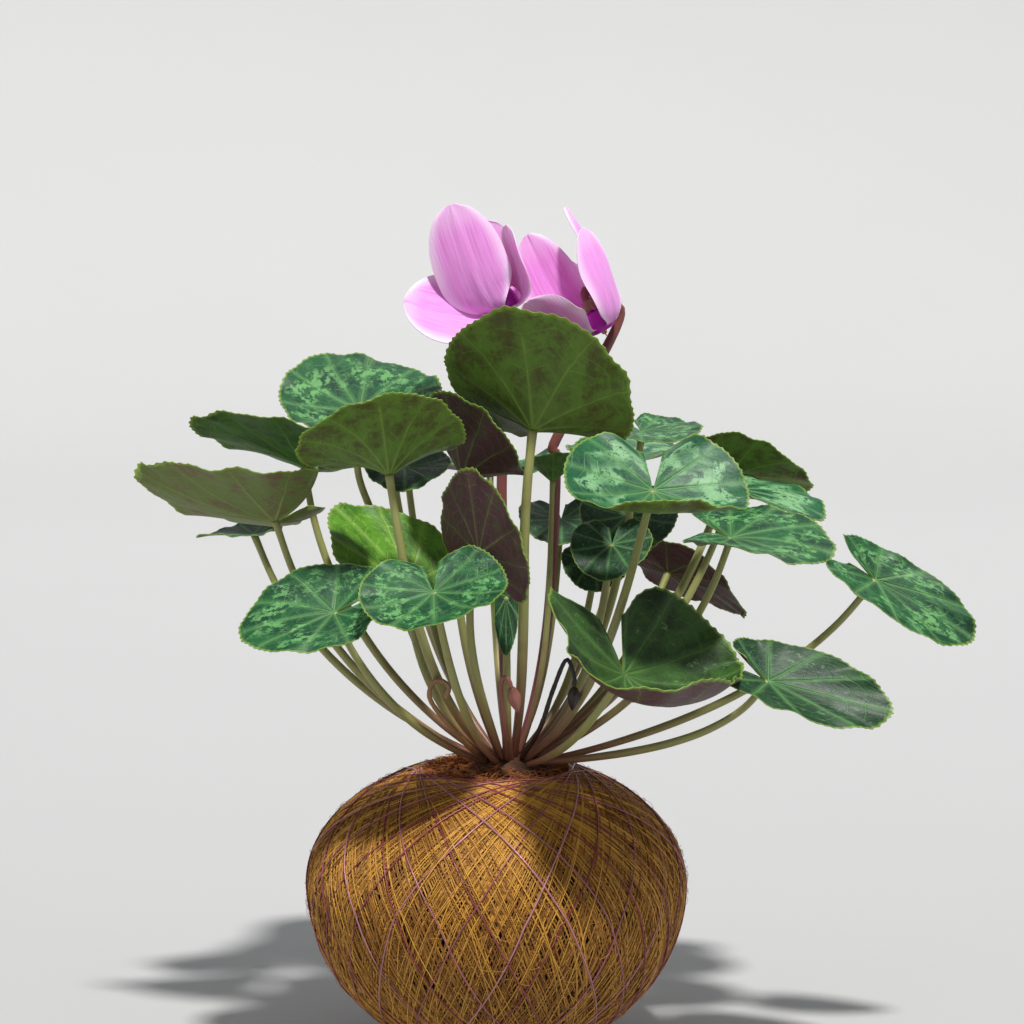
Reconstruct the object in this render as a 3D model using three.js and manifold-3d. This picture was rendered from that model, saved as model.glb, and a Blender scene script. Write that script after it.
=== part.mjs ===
import * as THREE from 'three';
import { mergeVertices } from 'three/addons/utils/BufferGeometryUtils.js';
import Module from 'manifold-3d';

// A cyclamen that grows out of a ball of moss and coir, wound all over with thread.
// Millimetres, +Z up. The origin is the middle of the flat spot that the ball rests on,
// -Y is the front and +X is the right of someone who looks at the front.

const wasm = await Module();
wasm.setup();

// ---------- Driving dimensions ----------

const SEAT_GAP = 0.3; // air between pieces that touch

const BALL_RADIUS = 74;
const BALL_MIDDLE = 65; // height of the widest level
const UPPER_HALF = 49; // half height of the upper half
const LOWER_HALF = 67.5; // half height of the lower half, before the foot is flattened
const WALL = 4; // thickness of the winding
const OPENING_RADIUS = 29.5; // the hole that the winding leaves round the crown
const LOOP_TILT = THREE.MathUtils.degToRad(66.4); // a loop of thread just touches the opening
const RELIEF = 0.5; // height of the ridges of wound thread

const PURPLE_LOOPS = 5;
const PURPLE_RADIUS = 0.55;
const PURPLE_STEPS = 26;
const PURPLE_LIFT = 0.25; // the straight steps of a loop cut the corners of the ball

const MOUND_TOP = 111; // top of the coir in the opening
const MOUND_FALL = 2; // how much lower it lies at the opening's edge
const MOUND_FOOT = 95; // inside the coir that fills the ball
const MOUND_LUMP = 0.7;

const CROWN = { x: 5, y: 0, z: 107, radius: 18.5, rise: 9.5 }; // the tuber
const CROWN_SPREAD = 12.5; // stalks stand within this radius on the tuber
const STALK_DEPTH = 1.5; // a stalk's end is cut off where the tuber's skin is, less the gap

const BLADE_THICKNESS = 0.8;
const TOOTH = 0.02; // teeth of a leaf margin, as a part of the leaf's size
const SINUS = THREE.MathUtils.degToRad(12); // half of the notch at the leaf's base
const PETIOLE = { base: 1.25, middle: 1.6, end: 1.35 }; // radii
const STRAND_POINTS = 49;
const TUBE_STEP = 8; // every so many points of a stalk carry a ring of its tube
const STRAND_GAP = 0.55; // least air between two stalks
const BLADE_REACH = 2.1; // stalks keep this much more than their radius from a blade's points
const BALL_REACH = 2.2; // and this much from the ball

const PETAL_THICKNESS = 0.8;
const PETAL_LAYER = 0.45; // each petal leaves the bulb so much above the one before
const MOUTH_RADIUS = 4.6;
const BULB_HEIGHT = 9;
const SEPALS = 5;
const STALK_RADIUS = { base: 1.7, top: 2.1, hook: 1.4 };
const STALK_STEP = 6; // every so many points of a flower's stalk carry a ring of its tube

// ---------- Leaves ----------
// at      where the stalk meets the blade
// size    from there to the tip
// turn    heading of the midrib, its rise, and the roll about it, in degrees
// curl    bend of the left side, right side, tip and lobes, in degrees, up is positive
// width, funnel, lobe, taper: see bladePoint

function leaf(name, at, size, turn, curl, more = {}) {
  const usual = { width: 1, funnel: 0.08, lobe: 0.75, taper: 0, thick: 1, large: true };
  return { ...usual, name, at, size, turn, curl, ...more };
}

const LEAVES = [
  leaf('leaf_far_left', [-85, -15, 210], 57, [184, 3, -34], [10, 30, 25, 110],
    { width: 0.7, funnel: 0.12, lobe: 0.45, taper: 0.5 }),
  leaf('leaf_under_far_left', [-97, 33, 199], 22, [175, -2, 2], [10, 10, -10, 10],
    { width: 0.8, lobe: 0.5, large: false }),
  leaf('leaf_upper_left', [-76, 20, 228], 45, [182, 20, -30], [10, 30, -10, 90],
    { width: 0.75, funnel: 0.12, lobe: 0.6, taper: 0.5 }),
  leaf('leaf_marbled_upper_left', [-54, 25, 249], 38, [85, 34, -4], [20, 10, -20, 20], { width: 0.95 }),
  leaf('leaf_olive_upper_left', [-40, -44, 231], 31, [-95, 36, -6], [-15, -35, -20, 10],
    { width: 0.92, funnel: 0.6, thick: 1.15 }),
  leaf('leaf_purple_middle', [-13, -12, 227], 33, [-125, 46, 10], [-10, 0, 0, 60],
    { width: 0.84, funnel: 0.4, lobe: 0.6 }),
  leaf('leaf_tallest', [14, -25, 246], 47, [-108, 52, 5], [-25, -10, -10, 0],
    { width: 0.98, funnel: 0.35, lobe: 0.32, thick: 1.3 }),
  leaf('leaf_flat_upper_right', [57, 5, 243], 24, [-60, -3, 0], [10, 10, -10, 10], { width: 1.05 }),
  leaf('leaf_marbled_front_upper', [59, -50, 226], 36, [-90, -50, 8], [10, 10, 90, 0],
    { width: 1.1, thick: 1.1 }),
  leaf('leaf_olive_upper_right', [94, 59, 219], 31, [-10, -5, 45], [-10, -20, -20, 0],
    { width: 0.74, funnel: 0.25, lobe: 0.5, thick: 1.15 }),
  leaf('leaf_right', [91, -10, 203], 38, [-12, -2, -16], [15, 15, -20, 10], { width: 0.8, lobe: 0.45 }),
  leaf('leaf_silver_right', [95, 33, 217], 36, [-8, -10, -10], [-15, 15, -20, -40],
    { width: 0.8, lobe: 0.45 }),
  leaf('leaf_far_right', [146, -20, 188], 42, [-8, -30, -50], [25, 5, -10, 15],
    { width: 0.4, lobe: 0.5 }),
  leaf('leaf_cupped_right', [104, -35, 151], 46, [-8, -16, -40], [50, 30, 0, 40],
    { width: 0.5, lobe: 0.38 }),
  leaf('leaf_folded_front_right', [48, -60, 158], 52, [-56, -52, 15], [38, 25, 102, 0], { width: 1.1 }),
  leaf('leaf_marbled_front_left', [-23, -60, 189], 27, [-85, -38, -10], [10, 10, 30, 15],
    { width: 1.15 }),
  leaf('leaf_bright_left', [-34, -5, 184], 40, [165, 45, 30], [10, 10, -10, 30],
    { width: 0.78, lobe: 0.5 }),
  leaf('leaf_low_left', [-61, -45, 179], 35, [-178, -8, 38], [15, 25, -20, 60],
    { width: 0.64, taper: -0.2 }),
  leaf('leaf_upright_purple', [-6, -43, 201], 32, [-140, 75, 0], [0, 0, 0, 0],
    { width: 0.95, lobe: 0.7, taper: 0.3 }),
  leaf('leaf_small_hanging', [4, -30, 183], 22, [-90, -75, 0], [10, 10, 0, 0],
    { width: 0.26, lobe: 0.5, large: false }),
  leaf('leaf_shaded_right', [52, 22, 208], 20, [-90, -38, 0], [15, 15, -20, 20],
    { width: 1.1, large: false }),
  leaf('leaf_shaded_low_right', [45, -6, 200], 18, [-100, -35, 0], [15, 15, -20, 20], { large: false }),
  leaf('leaf_shaded_middle', [26, 44, 204], 18, [-90, -20, 0], [15, 15, -20, 20],
    { width: 1.1, large: false }),
  leaf('leaf_shaded_low_middle', [40, 38, 187], 16, [-90, -30, 0], [15, 15, -20, 20], { large: false }),
  leaf('leaf_purple_right', [70, 60, 180], 35, [-12, -18, 45], [10, 10, -30, 20],
    { width: 0.52, lobe: 0.5 }),
  leaf('leaf_shaded_left', [-36, 34, 226], 20, [-90, -15, 0], [15, 15, -20, 20], { large: false }),
  leaf('leaf_back_left', [-44, 72, 233], 36, [115, 10, 0], [20, 20, -20, 20], { width: 0.95 }),
  leaf('leaf_back_right', [57, 82, 224], 36, [50, 8, 0], [20, 20, -20, 20], { width: 0.95 }),
  leaf('leaf_back_middle', [-3, 95, 217], 34, [102, 5, 0], [20, 20, -20, 20], { width: 0.95 }),
  leaf('leaf_young', [22, 0, 224], 13, [-90, 20, 0], [0, 0, 0, 0],
    { width: 0.9, funnel: 0.6, thick: 0.75, large: false }),
];

// ---------- Flowers ----------
// mouth   middle of the mouth, which looks down
// axis    from the mouth up through the bulb to the stalk
// pass    where the stalk passes the mouth, from the mouth
// petals  reach: from the mouth's rim to the petal's tip, roll of its face, width

const FLOWERS = [
  {
    name: 'flower_left', mouth: [4.5, 12, 290], axis: [-0.3, 0, 0.95],
    pass: [-9.5, 7.5, -3], below: [2, 29, 232],
    petals: [
      { reach: [-40, -12, 4], roll: -60, width: 31 },
      { reach: [-22, -10, 41], roll: 40, width: 29 },
      { reach: [-1, -7, 33], roll: 65, width: 18 },
      { reach: [-9, 14, 34], roll: 20, width: 20 },
      { reach: [7, 17, 12], roll: 0, width: 16 },
    ],
  },
  {
    name: 'flower_right', mouth: [42, 12, 282], axis: [-0.5, 0, 0.87],
    pass: [6.6, 9.6, 3.8], below: [24, 14, 240],
    petals: [
      { reach: [-30, 4, 37], roll: -45, width: 24 },
      { reach: [-15, 0, 48], roll: 15, width: 14 },
      { reach: [-12, -4, 41], roll: 30, width: 20 },
      { reach: [-30, -14, 12], roll: 30, width: 20 },
      { reach: [-20, 20, 27], roll: -10, width: 18 },
    ],
  },
];

// ---------- Withered and young stalks ----------
// Each leaves the crown and passes these points; a bud or a dried flower may sit on its end.

const SMALL_STALKS = [
  { name: 'withered_stalk_left', radius: 1.1, colour: 0x8a6a45,
    points: [[-4, -7, 114], [-14, -22, 127], [-25, -31, 143],
      [-23, -33, 151], [-18, -33, 149], [-19, -33, 144]] },
  { name: 'withered_stalk_right', radius: 1, colour: 0x2f2018, bud: { length: 9, radius: 2.4 },
    points: [[10, -8, 116], [17, -20, 130], [22, -25, 146],
      [27, -27, 158], [30, -27, 152], [30, -27, 147]] },
  { name: 'young_bud', radius: 1.1, colour: 0xc98f93, bud: { length: 10, radius: 2.6 },
    points: [[4, -9, 116], [3, -23, 132], [2, -30, 147],
      [3, -32, 152], [5, -33, 151], [6, -33, 148]] },
];

// ---------- Small helpers ----------

const radians = THREE.MathUtils.degToRad;
const vector = (xyz) => new THREE.Vector3(...xyz);

function smooth(low, high, value) {
  return THREE.MathUtils.smoothstep(value, low, high);
}

function manifoldOf(vertices, triangles) {
  let volume = 0;
  for (let i = 0; i < triangles.length; i += 3) {
    const [a, b, c] = [0, 1, 2].map((k) => vertices[triangles[i + k]]);
    volume += a.dot(new THREE.Vector3().crossVectors(b, c));
  }
  const outward = volume > 0 ? triangles : [...triangles].reverse();
  return new wasm.Manifold(new wasm.Mesh({
    numProp: 3,
    vertProperties: new Float32Array(vertices.flatMap((v) => v.toArray())),
    triVerts: new Uint32Array(outward),
  }));
}

function manifoldFrom(geometry) {
  const plain = geometry.clone();
  plain.deleteAttribute('normal');
  plain.deleteAttribute('uv');
  const merged = mergeVertices(plain, 1e-4);
  return new wasm.Manifold(new wasm.Mesh({
    numProp: 3,
    vertProperties: new Float32Array(merged.attributes.position.array),
    triVerts: new Uint32Array(merged.index.array),
  }));
}

const plant = new THREE.Group();

// A cut can leave crumbs of no size, so only the largest body is kept.
function largest(solid) {
  return solid.decompose().sort((a, b) => b.volume() - a.volume())[0];
}

function place(name, solid, colour, roughness = 0.7) {
  const mesh = largest(solid).getMesh();
  const geometry = new THREE.BufferGeometry();
  geometry.setAttribute('position', new THREE.BufferAttribute(mesh.vertProperties, 3));
  geometry.setIndex(new THREE.BufferAttribute(mesh.triVerts, 1));
  const material = new THREE.MeshStandardMaterial({ color: colour, roughness, metalness: 0 });
  const piece = new THREE.Mesh(geometry, material);
  piece.name = name;
  plant.add(piece);
}

// A tube along points, with rings that don't twist. Its last ring may lie square to a given direction.
function tube(points, radii, sides, lastAlong = null) {
  const vertices = [];
  let across = new THREE.Vector3(1, 0, 0);
  points.forEach((point, i) => {
    const ahead = points[Math.min(i + 1, points.length - 1)];
    const behind = points[Math.max(i - 1, 0)];
    const isLast = i + 1 === points.length;
    const along = isLast && lastAlong ? lastAlong.clone() : ahead.clone().sub(behind).normalize();
    across = across.clone().addScaledVector(along, -across.dot(along)).normalize();
    const other = new THREE.Vector3().crossVectors(along, across);
    for (let k = 0; k < sides; k++) {
      const angle = (2 * Math.PI * k) / sides;
      vertices.push(point.clone()
        .addScaledVector(across, radii[i] * Math.cos(angle))
        .addScaledVector(other, radii[i] * Math.sin(angle)));
    }
  });
  const triangles = [];
  for (let i = 0; i + 1 < points.length; i++) {
    for (let k = 0; k < sides; k++) {
      const [a, b] = [i * sides + k, i * sides + ((k + 1) % sides)];
      triangles.push(a, b, a + sides, b, b + sides, a + sides);
    }
  }
  const last = (points.length - 1) * sides;
  for (let k = 1; k + 1 < sides; k++) {
    triangles.push(0, k + 1, k, last, last + k, last + k + 1);
  }
  return manifoldOf(vertices, triangles);
}

// A closed sheet: two faces that are split into triangles alike, and the strip between their rims.
function sheet(middle, normals, faces, rim, thickness) {
  const count = middle.length;
  const upper = middle.map((point, i) => point.clone().addScaledVector(normals[i], thickness / 2));
  const lower = middle.map((point, i) => point.clone().addScaledVector(normals[i], -thickness / 2));
  const triangles = [];
  for (const [a, b, c] of faces) {
    triangles.push(a, b, c, a + count, c + count, b + count);
  }
  rim.forEach((a, i) => {
    const b = rim[(i + 1) % rim.length];
    triangles.push(b, a, a + count, b, a + count, b + count);
  });
  return manifoldOf([...upper, ...lower], triangles);
}

// ---------- The shape of a blade ----------

// Distance from the stalk to the margin, where the tip is 1: lobe is how far the sides reach.
function marginAt(theta, lobe) {
  const part = Math.abs(theta) / (Math.PI - SINUS);
  const tip = 0.05 * Math.exp(-((part / 0.13) ** 2));
  return (1 - (1 - lobe) * part ** 1.6 + tip) * (1 - 0.4 * smooth(0.84, 1, part));
}

// Rolls a strip of the blade into an arc with a bend of so many radians for each mm.
function rollUp(along, height, bend) {
  const curve = Math.abs(bend) < 1e-6 ? 1e-6 : bend;
  const radius = 1 / curve - height;
  return [Math.sin(curve * along) * radius, 1 / curve - Math.cos(curve * along) * radius];
}

function leafFrame(shape) {
  const [heading, rise, roll] = shape.turn.map(radians);
  const along = new THREE.Vector3(
    Math.cos(rise) * Math.cos(heading), Math.cos(rise) * Math.sin(heading), Math.sin(rise));
  const level = new THREE.Vector3(
    -Math.sin(rise) * Math.cos(heading), -Math.sin(rise) * Math.sin(heading), Math.cos(rise));
  const aside = new THREE.Vector3().crossVectors(level, along);
  const up = level.multiplyScalar(Math.cos(roll)).addScaledVector(aside, Math.sin(roll));
  return { along, up, left: new THREE.Vector3().crossVectors(up, along) };
}

// rho runs from the stalk (0) to the margin (1), theta round the blade from the tip.
function bladePoint(shape, rho, theta) {
  const { size, width, funnel, lobe, taper, curl } = shape;
  const reach = size * marginAt(theta, lobe) * rho;
  const narrowing = 1 - taper * Math.max(0, Math.cos(theta));
  const wave = 0.05 * rho ** 2.2 * Math.sin(3 * theta);
  let x = reach * Math.cos(theta);
  let y = reach * Math.sin(theta) * width * narrowing;
  let z = size * (funnel * (1.3 * rho - 0.3 * rho * rho) + wave);
  const [left, right, tip, lobes] = curl.map((degrees) => radians(degrees) / size);
  [y, z] = rollUp(y, z, y > 0 ? left : right);
  [x, z] = rollUp(x, z, x > 0 ? tip : lobes);
  const frame = leafFrame(shape);
  return vector(shape.at)
    .addScaledVector(frame.along, x).addScaledVector(frame.left, y).addScaledVector(frame.up, z);
}

function bladeNormal(shape, rho, theta) {
  if (rho === 0) {
    return leafFrame(shape).up;
  }
  const step = 1e-3;
  const outward = bladePoint(shape, rho + step, theta).sub(bladePoint(shape, rho - step, theta));
  const around = bladePoint(shape, rho, theta + step).sub(bladePoint(shape, rho, theta - step));
  return outward.cross(around).normalize();
}

// Rings of points round the stalk's end; the margin has twice as many, in and out by turns.
function bladeSolid(shape) {
  const columns = shape.large ? 13 : 8;
  const rings = shape.large ? [0.36, 0.72] : [0.5];
  const widest = Math.PI - SINUS;
  const spots = [[0, 0]];
  for (const rho of rings) {
    for (let i = 0; i <= columns; i++) {
      spots.push([rho, -widest + (2 * widest * i) / columns]);
    }
  }
  const margin = spots.length;
  for (let i = 0; i <= 2 * columns; i++) {
    const tooth = i % 2 === 0 ? -TOOTH : TOOTH;
    spots.push([1 + tooth, -widest + (widest * i) / columns]);
  }
  const faces = [];
  for (let i = 0; i < columns; i++) {
    faces.push([0, 1 + i, 2 + i]);
    for (let ring = 0; ring + 1 < rings.length; ring++) {
      const inner = 1 + ring * (columns + 1) + i;
      const outer = inner + columns + 1;
      faces.push([inner, outer, outer + 1], [inner, outer + 1, inner + 1]);
    }
    const inner = margin - (columns + 1) + i;
    const outer = margin + 2 * i;
    faces.push([inner, outer, outer + 1], [inner, outer + 1, inner + 1], [inner + 1, outer + 1, outer + 2]);
  }
  const starts = rings.map((_, ring) => 1 + ring * (columns + 1));
  const rim = [0, ...starts];
  for (let i = 0; i <= 2 * columns; i++) {
    rim.push(margin + i);
  }
  rim.push(...starts.map((start) => start + columns).reverse());
  const middle = spots.map(([rho, theta]) => bladePoint(shape, rho, theta));
  const normals = spots.map(([rho, theta]) => bladeNormal(shape, rho, theta));
  return sheet(middle, normals, faces, rim, BLADE_THICKNESS);
}

// ---------- Stalks ----------

function crownHeight(x, y) {
  const part = Math.min(0.98, Math.hypot(x - CROWN.x, y - CROWN.y) / CROWN.radius);
  return CROWN.z + CROWN.rise * Math.sqrt(1 - part * part);
}

function bezier(a, b, c, d, t) {
  const s = 1 - t;
  return a.clone().multiplyScalar(s * s * s).addScaledVector(b, 3 * s * s * t)
    .addScaledVector(c, 3 * s * t * t).addScaledVector(d, t * t * t);
}

// A stalk leans out of the crown towards its end, low ones more, and rises into the blade from below.
function stalkPath(end, arrival) {
  const toEnd = end.clone().sub(vector([CROWN.x, CROWN.y, CROWN.z + CROWN.rise]));
  const flat = new THREE.Vector3(toEnd.x, toEnd.y, 0);
  const slope = Math.atan2(toEnd.z, flat.length());
  const outward = flat.normalize();
  const foot = CROWN_SPREAD * Math.sqrt(1 - slope / (Math.PI / 2));
  const start = new THREE.Vector3(CROWN.x + foot * outward.x, CROWN.y + foot * outward.y, 0);
  start.z = crownHeight(start.x, start.y) - STALK_DEPTH;
  const chord = end.clone().sub(start);
  const length = chord.length();
  chord.normalize();
  const leave = chord.clone().multiplyScalar(0.5)
    .addScaledVector(outward, 0.75 * Math.cos(slope)).normalize();
  const arrive = chord.clone().multiplyScalar(0.4).addScaledVector(arrival, 0.6).normalize();
  const near = start.clone().addScaledVector(leave, 0.38 * length);
  const far = end.clone().addScaledVector(arrive, -0.34 * length);
  const points = [];
  for (let i = 0; i < STRAND_POINTS; i++) {
    points.push(bezier(start, near, far, end, i / (STRAND_POINTS - 1)));
  }
  return points;
}

function petioleRadius(part, thick) {
  const lower = PETIOLE.base + (PETIOLE.middle - PETIOLE.base) * smooth(0, 0.35, part);
  return thick * (lower + (PETIOLE.end - PETIOLE.middle) * smooth(0.5, 1, part));
}

const LEAF_STRANDS = LEAVES.map((shape) => {
  const { up } = leafFrame(shape);
  const arrival = up.multiplyScalar(0.55).add(new THREE.Vector3(0, 0, 0.45)).normalize();
  const points = stalkPath(vector(shape.at), arrival);
  return {
    owner: shape.name, points, start: points.map((p) => p.clone()),
    radii: points.map((_, i) => petioleRadius(i / (STRAND_POINTS - 1), shape.thick)),
  };
});

const FLOWER_STRANDS = FLOWERS.map((flower) => {
  const points = stalkPath(vector(flower.below), new THREE.Vector3(0, 0, 1));
  return {
    owner: flower.name, points, start: points.map((p) => p.clone()),
    radii: points.map((_, i) => THREE.MathUtils.lerp(
      STALK_RADIUS.base, STALK_RADIUS.top, smooth(0, 0.4, i / STRAND_POINTS))),
  };
});

const SMALL_STRANDS = SMALL_STALKS.map((stalk) => {
  const curve = new THREE.CatmullRomCurve3(stalk.points.map(vector), false, 'centripetal');
  const points = curve.getPoints(STRAND_POINTS - 1);
  return {
    owner: stalk.name, points, start: points.map((p) => p.clone()),
    radii: points.map(() => stalk.radius),
  };
});

const STRANDS = [...LEAF_STRANDS, ...FLOWER_STRANDS, ...SMALL_STRANDS];

// Points all over the other blades that come near a stalk, for it to keep clear of.
const SPOT_SPACING = 3.6;
const NEAR = 22;

function bladeSpots(shape) {
  const spots = [];
  for (const rho of [0.2, 0.34, 0.46, 0.57, 0.68, 0.79, 0.9, 1]) {
    const count = Math.ceil((2 * (Math.PI - SINUS) * shape.size * rho) / SPOT_SPACING);
    for (let i = 0; i <= count; i++) {
      spots.push(bladePoint(shape, rho, (Math.PI - SINUS) * ((2 * i) / count - 1)));
    }
  }
  return spots;
}

const BLADE_SPOTS = LEAVES.map((shape) => ({ owner: shape.name, spots: bladeSpots(shape) }));

for (const strand of STRANDS) {
  strand.near = BLADE_SPOTS.filter(({ owner }) => owner !== strand.owner).flatMap(({ spots }) =>
    spots.filter((spot) => strand.points.some((point) => point.distanceToSquared(spot) < NEAR * NEAR)));
}

// How far b moves away from a to leave the gap, or null where it is there already.
function pushApart(a, b, gap) {
  const square = a.distanceToSquared(b);
  if (square >= gap * gap || square < 1e-12) {
    return null;
  }
  const distance = Math.sqrt(square);
  return b.clone().sub(a).multiplyScalar((gap - distance) / distance);
}

function keepStrandsApart() {
  for (let i = 0; i < STRANDS.length; i++) {
    for (let j = i + 1; j < STRANDS.length; j++) {
      const [one, two] = [STRANDS[i], STRANDS[j]];
      for (let m = 0; m < STRAND_POINTS; m++) {
        for (let n = 0; n < STRAND_POINTS; n++) {
          const push = pushApart(one.points[m], two.points[n], one.radii[m] + two.radii[n] + STRAND_GAP);
          if (push) {
            one.points[m].addScaledVector(push, -0.5);
            two.points[n].addScaledVector(push, 0.5);
          }
        }
      }
    }
  }
}

function keepOffBlades(strand) {
  for (let m = 0; m + 1 < STRAND_POINTS; m++) {
    for (const spot of strand.near) {
      const push = pushApart(spot, strand.points[m], strand.radii[m] + BLADE_REACH);
      if (push) {
        strand.points[m].add(push);
      }
    }
  }
}

function keepOffBall(point, radius) {
  const lift = radius + BALL_REACH;
  const half = UPPER_HALF + lift;
  const part = Math.hypot(point.x, point.y) / (BALL_RADIUS + lift);
  if (part < 1) {
    const lowest = BALL_MIDDLE + half * Math.sqrt(1 - part * part);
    const nearCrown = Math.hypot(point.x - CROWN.x, point.y - CROWN.y) < OPENING_RADIUS - 6;
    point.z = nearCrown ? point.z : Math.max(point.z, lowest);
  }
}

// The moves are smoothed along each stalk, so that it bends and doesn't kink.
function smoothMoves(strand) {
  const moves = strand.points.map((point, i) => point.clone().sub(strand.start[i]));
  const last = moves.length - 1;
  moves[last].set(0, 0, 0);
  strand.points.forEach((point, i) => {
    const before = moves[Math.max(0, i - 1)];
    const after = moves[Math.min(last, i + 1)];
    const move = before.clone().add(after).multiplyScalar(0.25).addScaledVector(moves[i], 0.5);
    point.copy(strand.start[i]).add(i === last ? moves[last] : move);
  });
}

const SETTLING_ROUNDS = 60;
for (let round = 0; round < SETTLING_ROUNDS; round++) {
  keepStrandsApart();
  for (const strand of STRANDS) {
    keepOffBlades(strand);
    smoothMoves(strand);
    strand.points.forEach((point, i) => keepOffBall(point, strand.radii[i]));
    strand.points[0].z = crownHeight(strand.points[0].x, strand.points[0].y) - STALK_DEPTH;
  }
}

// ---------- Ball ----------

function ballPoint(across, lift, x, y, z) {
  const half = z > 0 ? UPPER_HALF : LOWER_HALF;
  return new THREE.Vector3(
    (BALL_RADIUS + lift) * across * x, (BALL_RADIUS + lift) * across * y, BALL_MIDDLE + (half + lift) * z);
}

// The threads lie in two sets of ridges that cross, and run steeper towards the opening.
function ridges(longitude, latitude) {
  const swing = 2.2 * latitude;
  const set = (sign) => Math.abs(Math.sin(8 * (longitude + sign * swing)));
  return RELIEF * (0.5 * set(1) + 0.5 * set(-1));
}

function ballSolid(shrink, columns, rows, relief) {
  const vertices = [];
  for (let row = 0; row <= rows; row++) {
    const latitude = Math.PI / 2 - (Math.PI * row) / rows;
    for (let column = 0; column < columns; column++) {
      const longitude = (2 * Math.PI * (column + 0.5 * (row % 2))) / columns;
      const lift = relief ? ridges(longitude, latitude) * Math.cos(latitude) : 0;
      const point = ballPoint(Math.cos(latitude), lift - shrink,
        Math.cos(longitude), Math.sin(longitude), Math.sin(latitude));
      vertices.push(point);
      if (row === 0 || row === rows) {
        break;
      }
    }
  }
  const ring = (row, column) => 1 + (row - 1) * columns + (column % columns);
  const triangles = [];
  for (let column = 0; column < columns; column++) {
    triangles.push(0, ring(1, column), ring(1, column + 1));
    const last = vertices.length - 1;
    triangles.push(last, ring(rows - 1, column + 1), ring(rows - 1, column));
    for (let row = 1; row + 1 < rows; row++) {
      const [a, b] = [ring(row, column), ring(row, column + 1)];
      const shift = row % 2;
      const [c, d] = [ring(row + 1, column + shift), ring(row + 1, column + 1)];
      const e = ring(row + 1, column);
      if (shift) {
        triangles.push(a, c, b, a, e, c);
      } else {
        triangles.push(a, e, b, b, e, d);
      }
    }
  }
  return manifoldOf(vertices, triangles);
}

function cylinder(radius, low, high, sides = 48) {
  const geometry = new THREE.CylinderGeometry(radius, radius, high - low, sides);
  geometry.rotateX(Math.PI / 2).translate(0, 0, (low + high) / 2);
  return manifoldFrom(geometry);
}

const everythingBelow = cylinder(120, -40, 0, 8);

function winding() {
  return ballSolid(0, 64, 13, true)
    .subtract(ballSolid(WALL, 16, 8, false))
    .subtract(cylinder(OPENING_RADIUS, 90, 130))
    .subtract(everythingBelow);
}

const CROWN_ROWS = 8;

function crownSolid(grow) {
  const rim = CROWN.radius + grow;
  const profile = [];
  for (let i = 0; i <= CROWN_ROWS; i++) {
    const angle = Math.PI / 2 - (Math.PI * i) / CROWN_ROWS;
    const height = Math.sin(angle) * (angle > 0 ? CROWN.rise : 7);
    profile.push(new THREE.Vector2(Math.abs(rim * Math.cos(angle)), height + grow * Math.sin(angle)));
  }
  profile[0].x = 0;
  profile[CROWN_ROWS].x = 0;
  const geometry = new THREE.LatheGeometry(profile.reverse(), 16);
  geometry.rotateX(Math.PI / 2).translate(CROWN.x, CROWN.y, CROWN.z);
  return manifoldFrom(geometry);
}

// Coir fills the ball, and stands in lumps in the opening round the tuber.
function medium() {
  const [rows, columns] = [5, 24];
  const radius = OPENING_RADIUS - SEAT_GAP;
  const vertices = [new THREE.Vector3(0, 0, MOUND_FOOT), new THREE.Vector3(0, 0, MOUND_TOP)];
  for (let row = 1; row <= rows; row++) {
    for (let column = 0; column < columns; column++) {
      const angle = (2 * Math.PI * column) / columns;
      const out = row / rows;
      const lumps = Math.sin(5 * angle + 3 * row) + Math.sin(8 * angle - 2 * row);
      const height = MOUND_TOP - MOUND_FALL * out ** 2.4 + MOUND_LUMP * lumps * (1 - out ** 4);
      const [x, y] = [radius * out * Math.cos(angle), radius * out * Math.sin(angle)];
      vertices.push(new THREE.Vector3(x, y, height));
    }
  }
  for (let column = 0; column < columns; column++) {
    const angle = (2 * Math.PI * column) / columns;
    vertices.push(new THREE.Vector3(radius * Math.cos(angle), radius * Math.sin(angle), MOUND_FOOT));
  }
  const ring = (row, column) => 2 + (row - 1) * columns + (column % columns);
  const triangles = [];
  for (let column = 0; column < columns; column++) {
    triangles.push(1, ring(1, column), ring(1, column + 1));
    for (let row = 1; row <= rows; row++) {
      const [a, b] = [ring(row, column), ring(row, column + 1)];
      triangles.push(a, a + columns, b, b, a + columns, b + columns);
    }
    triangles.push(0, ring(rows + 1, column + 1), ring(rows + 1, column));
  }
  return ballSolid(WALL + SEAT_GAP, 16, 8, false)
    .subtract(cylinder(120, -40, WALL, 8))
    .add(manifoldOf(vertices, triangles))
    .subtract(crownSolid(SEAT_GAP));
}

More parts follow.
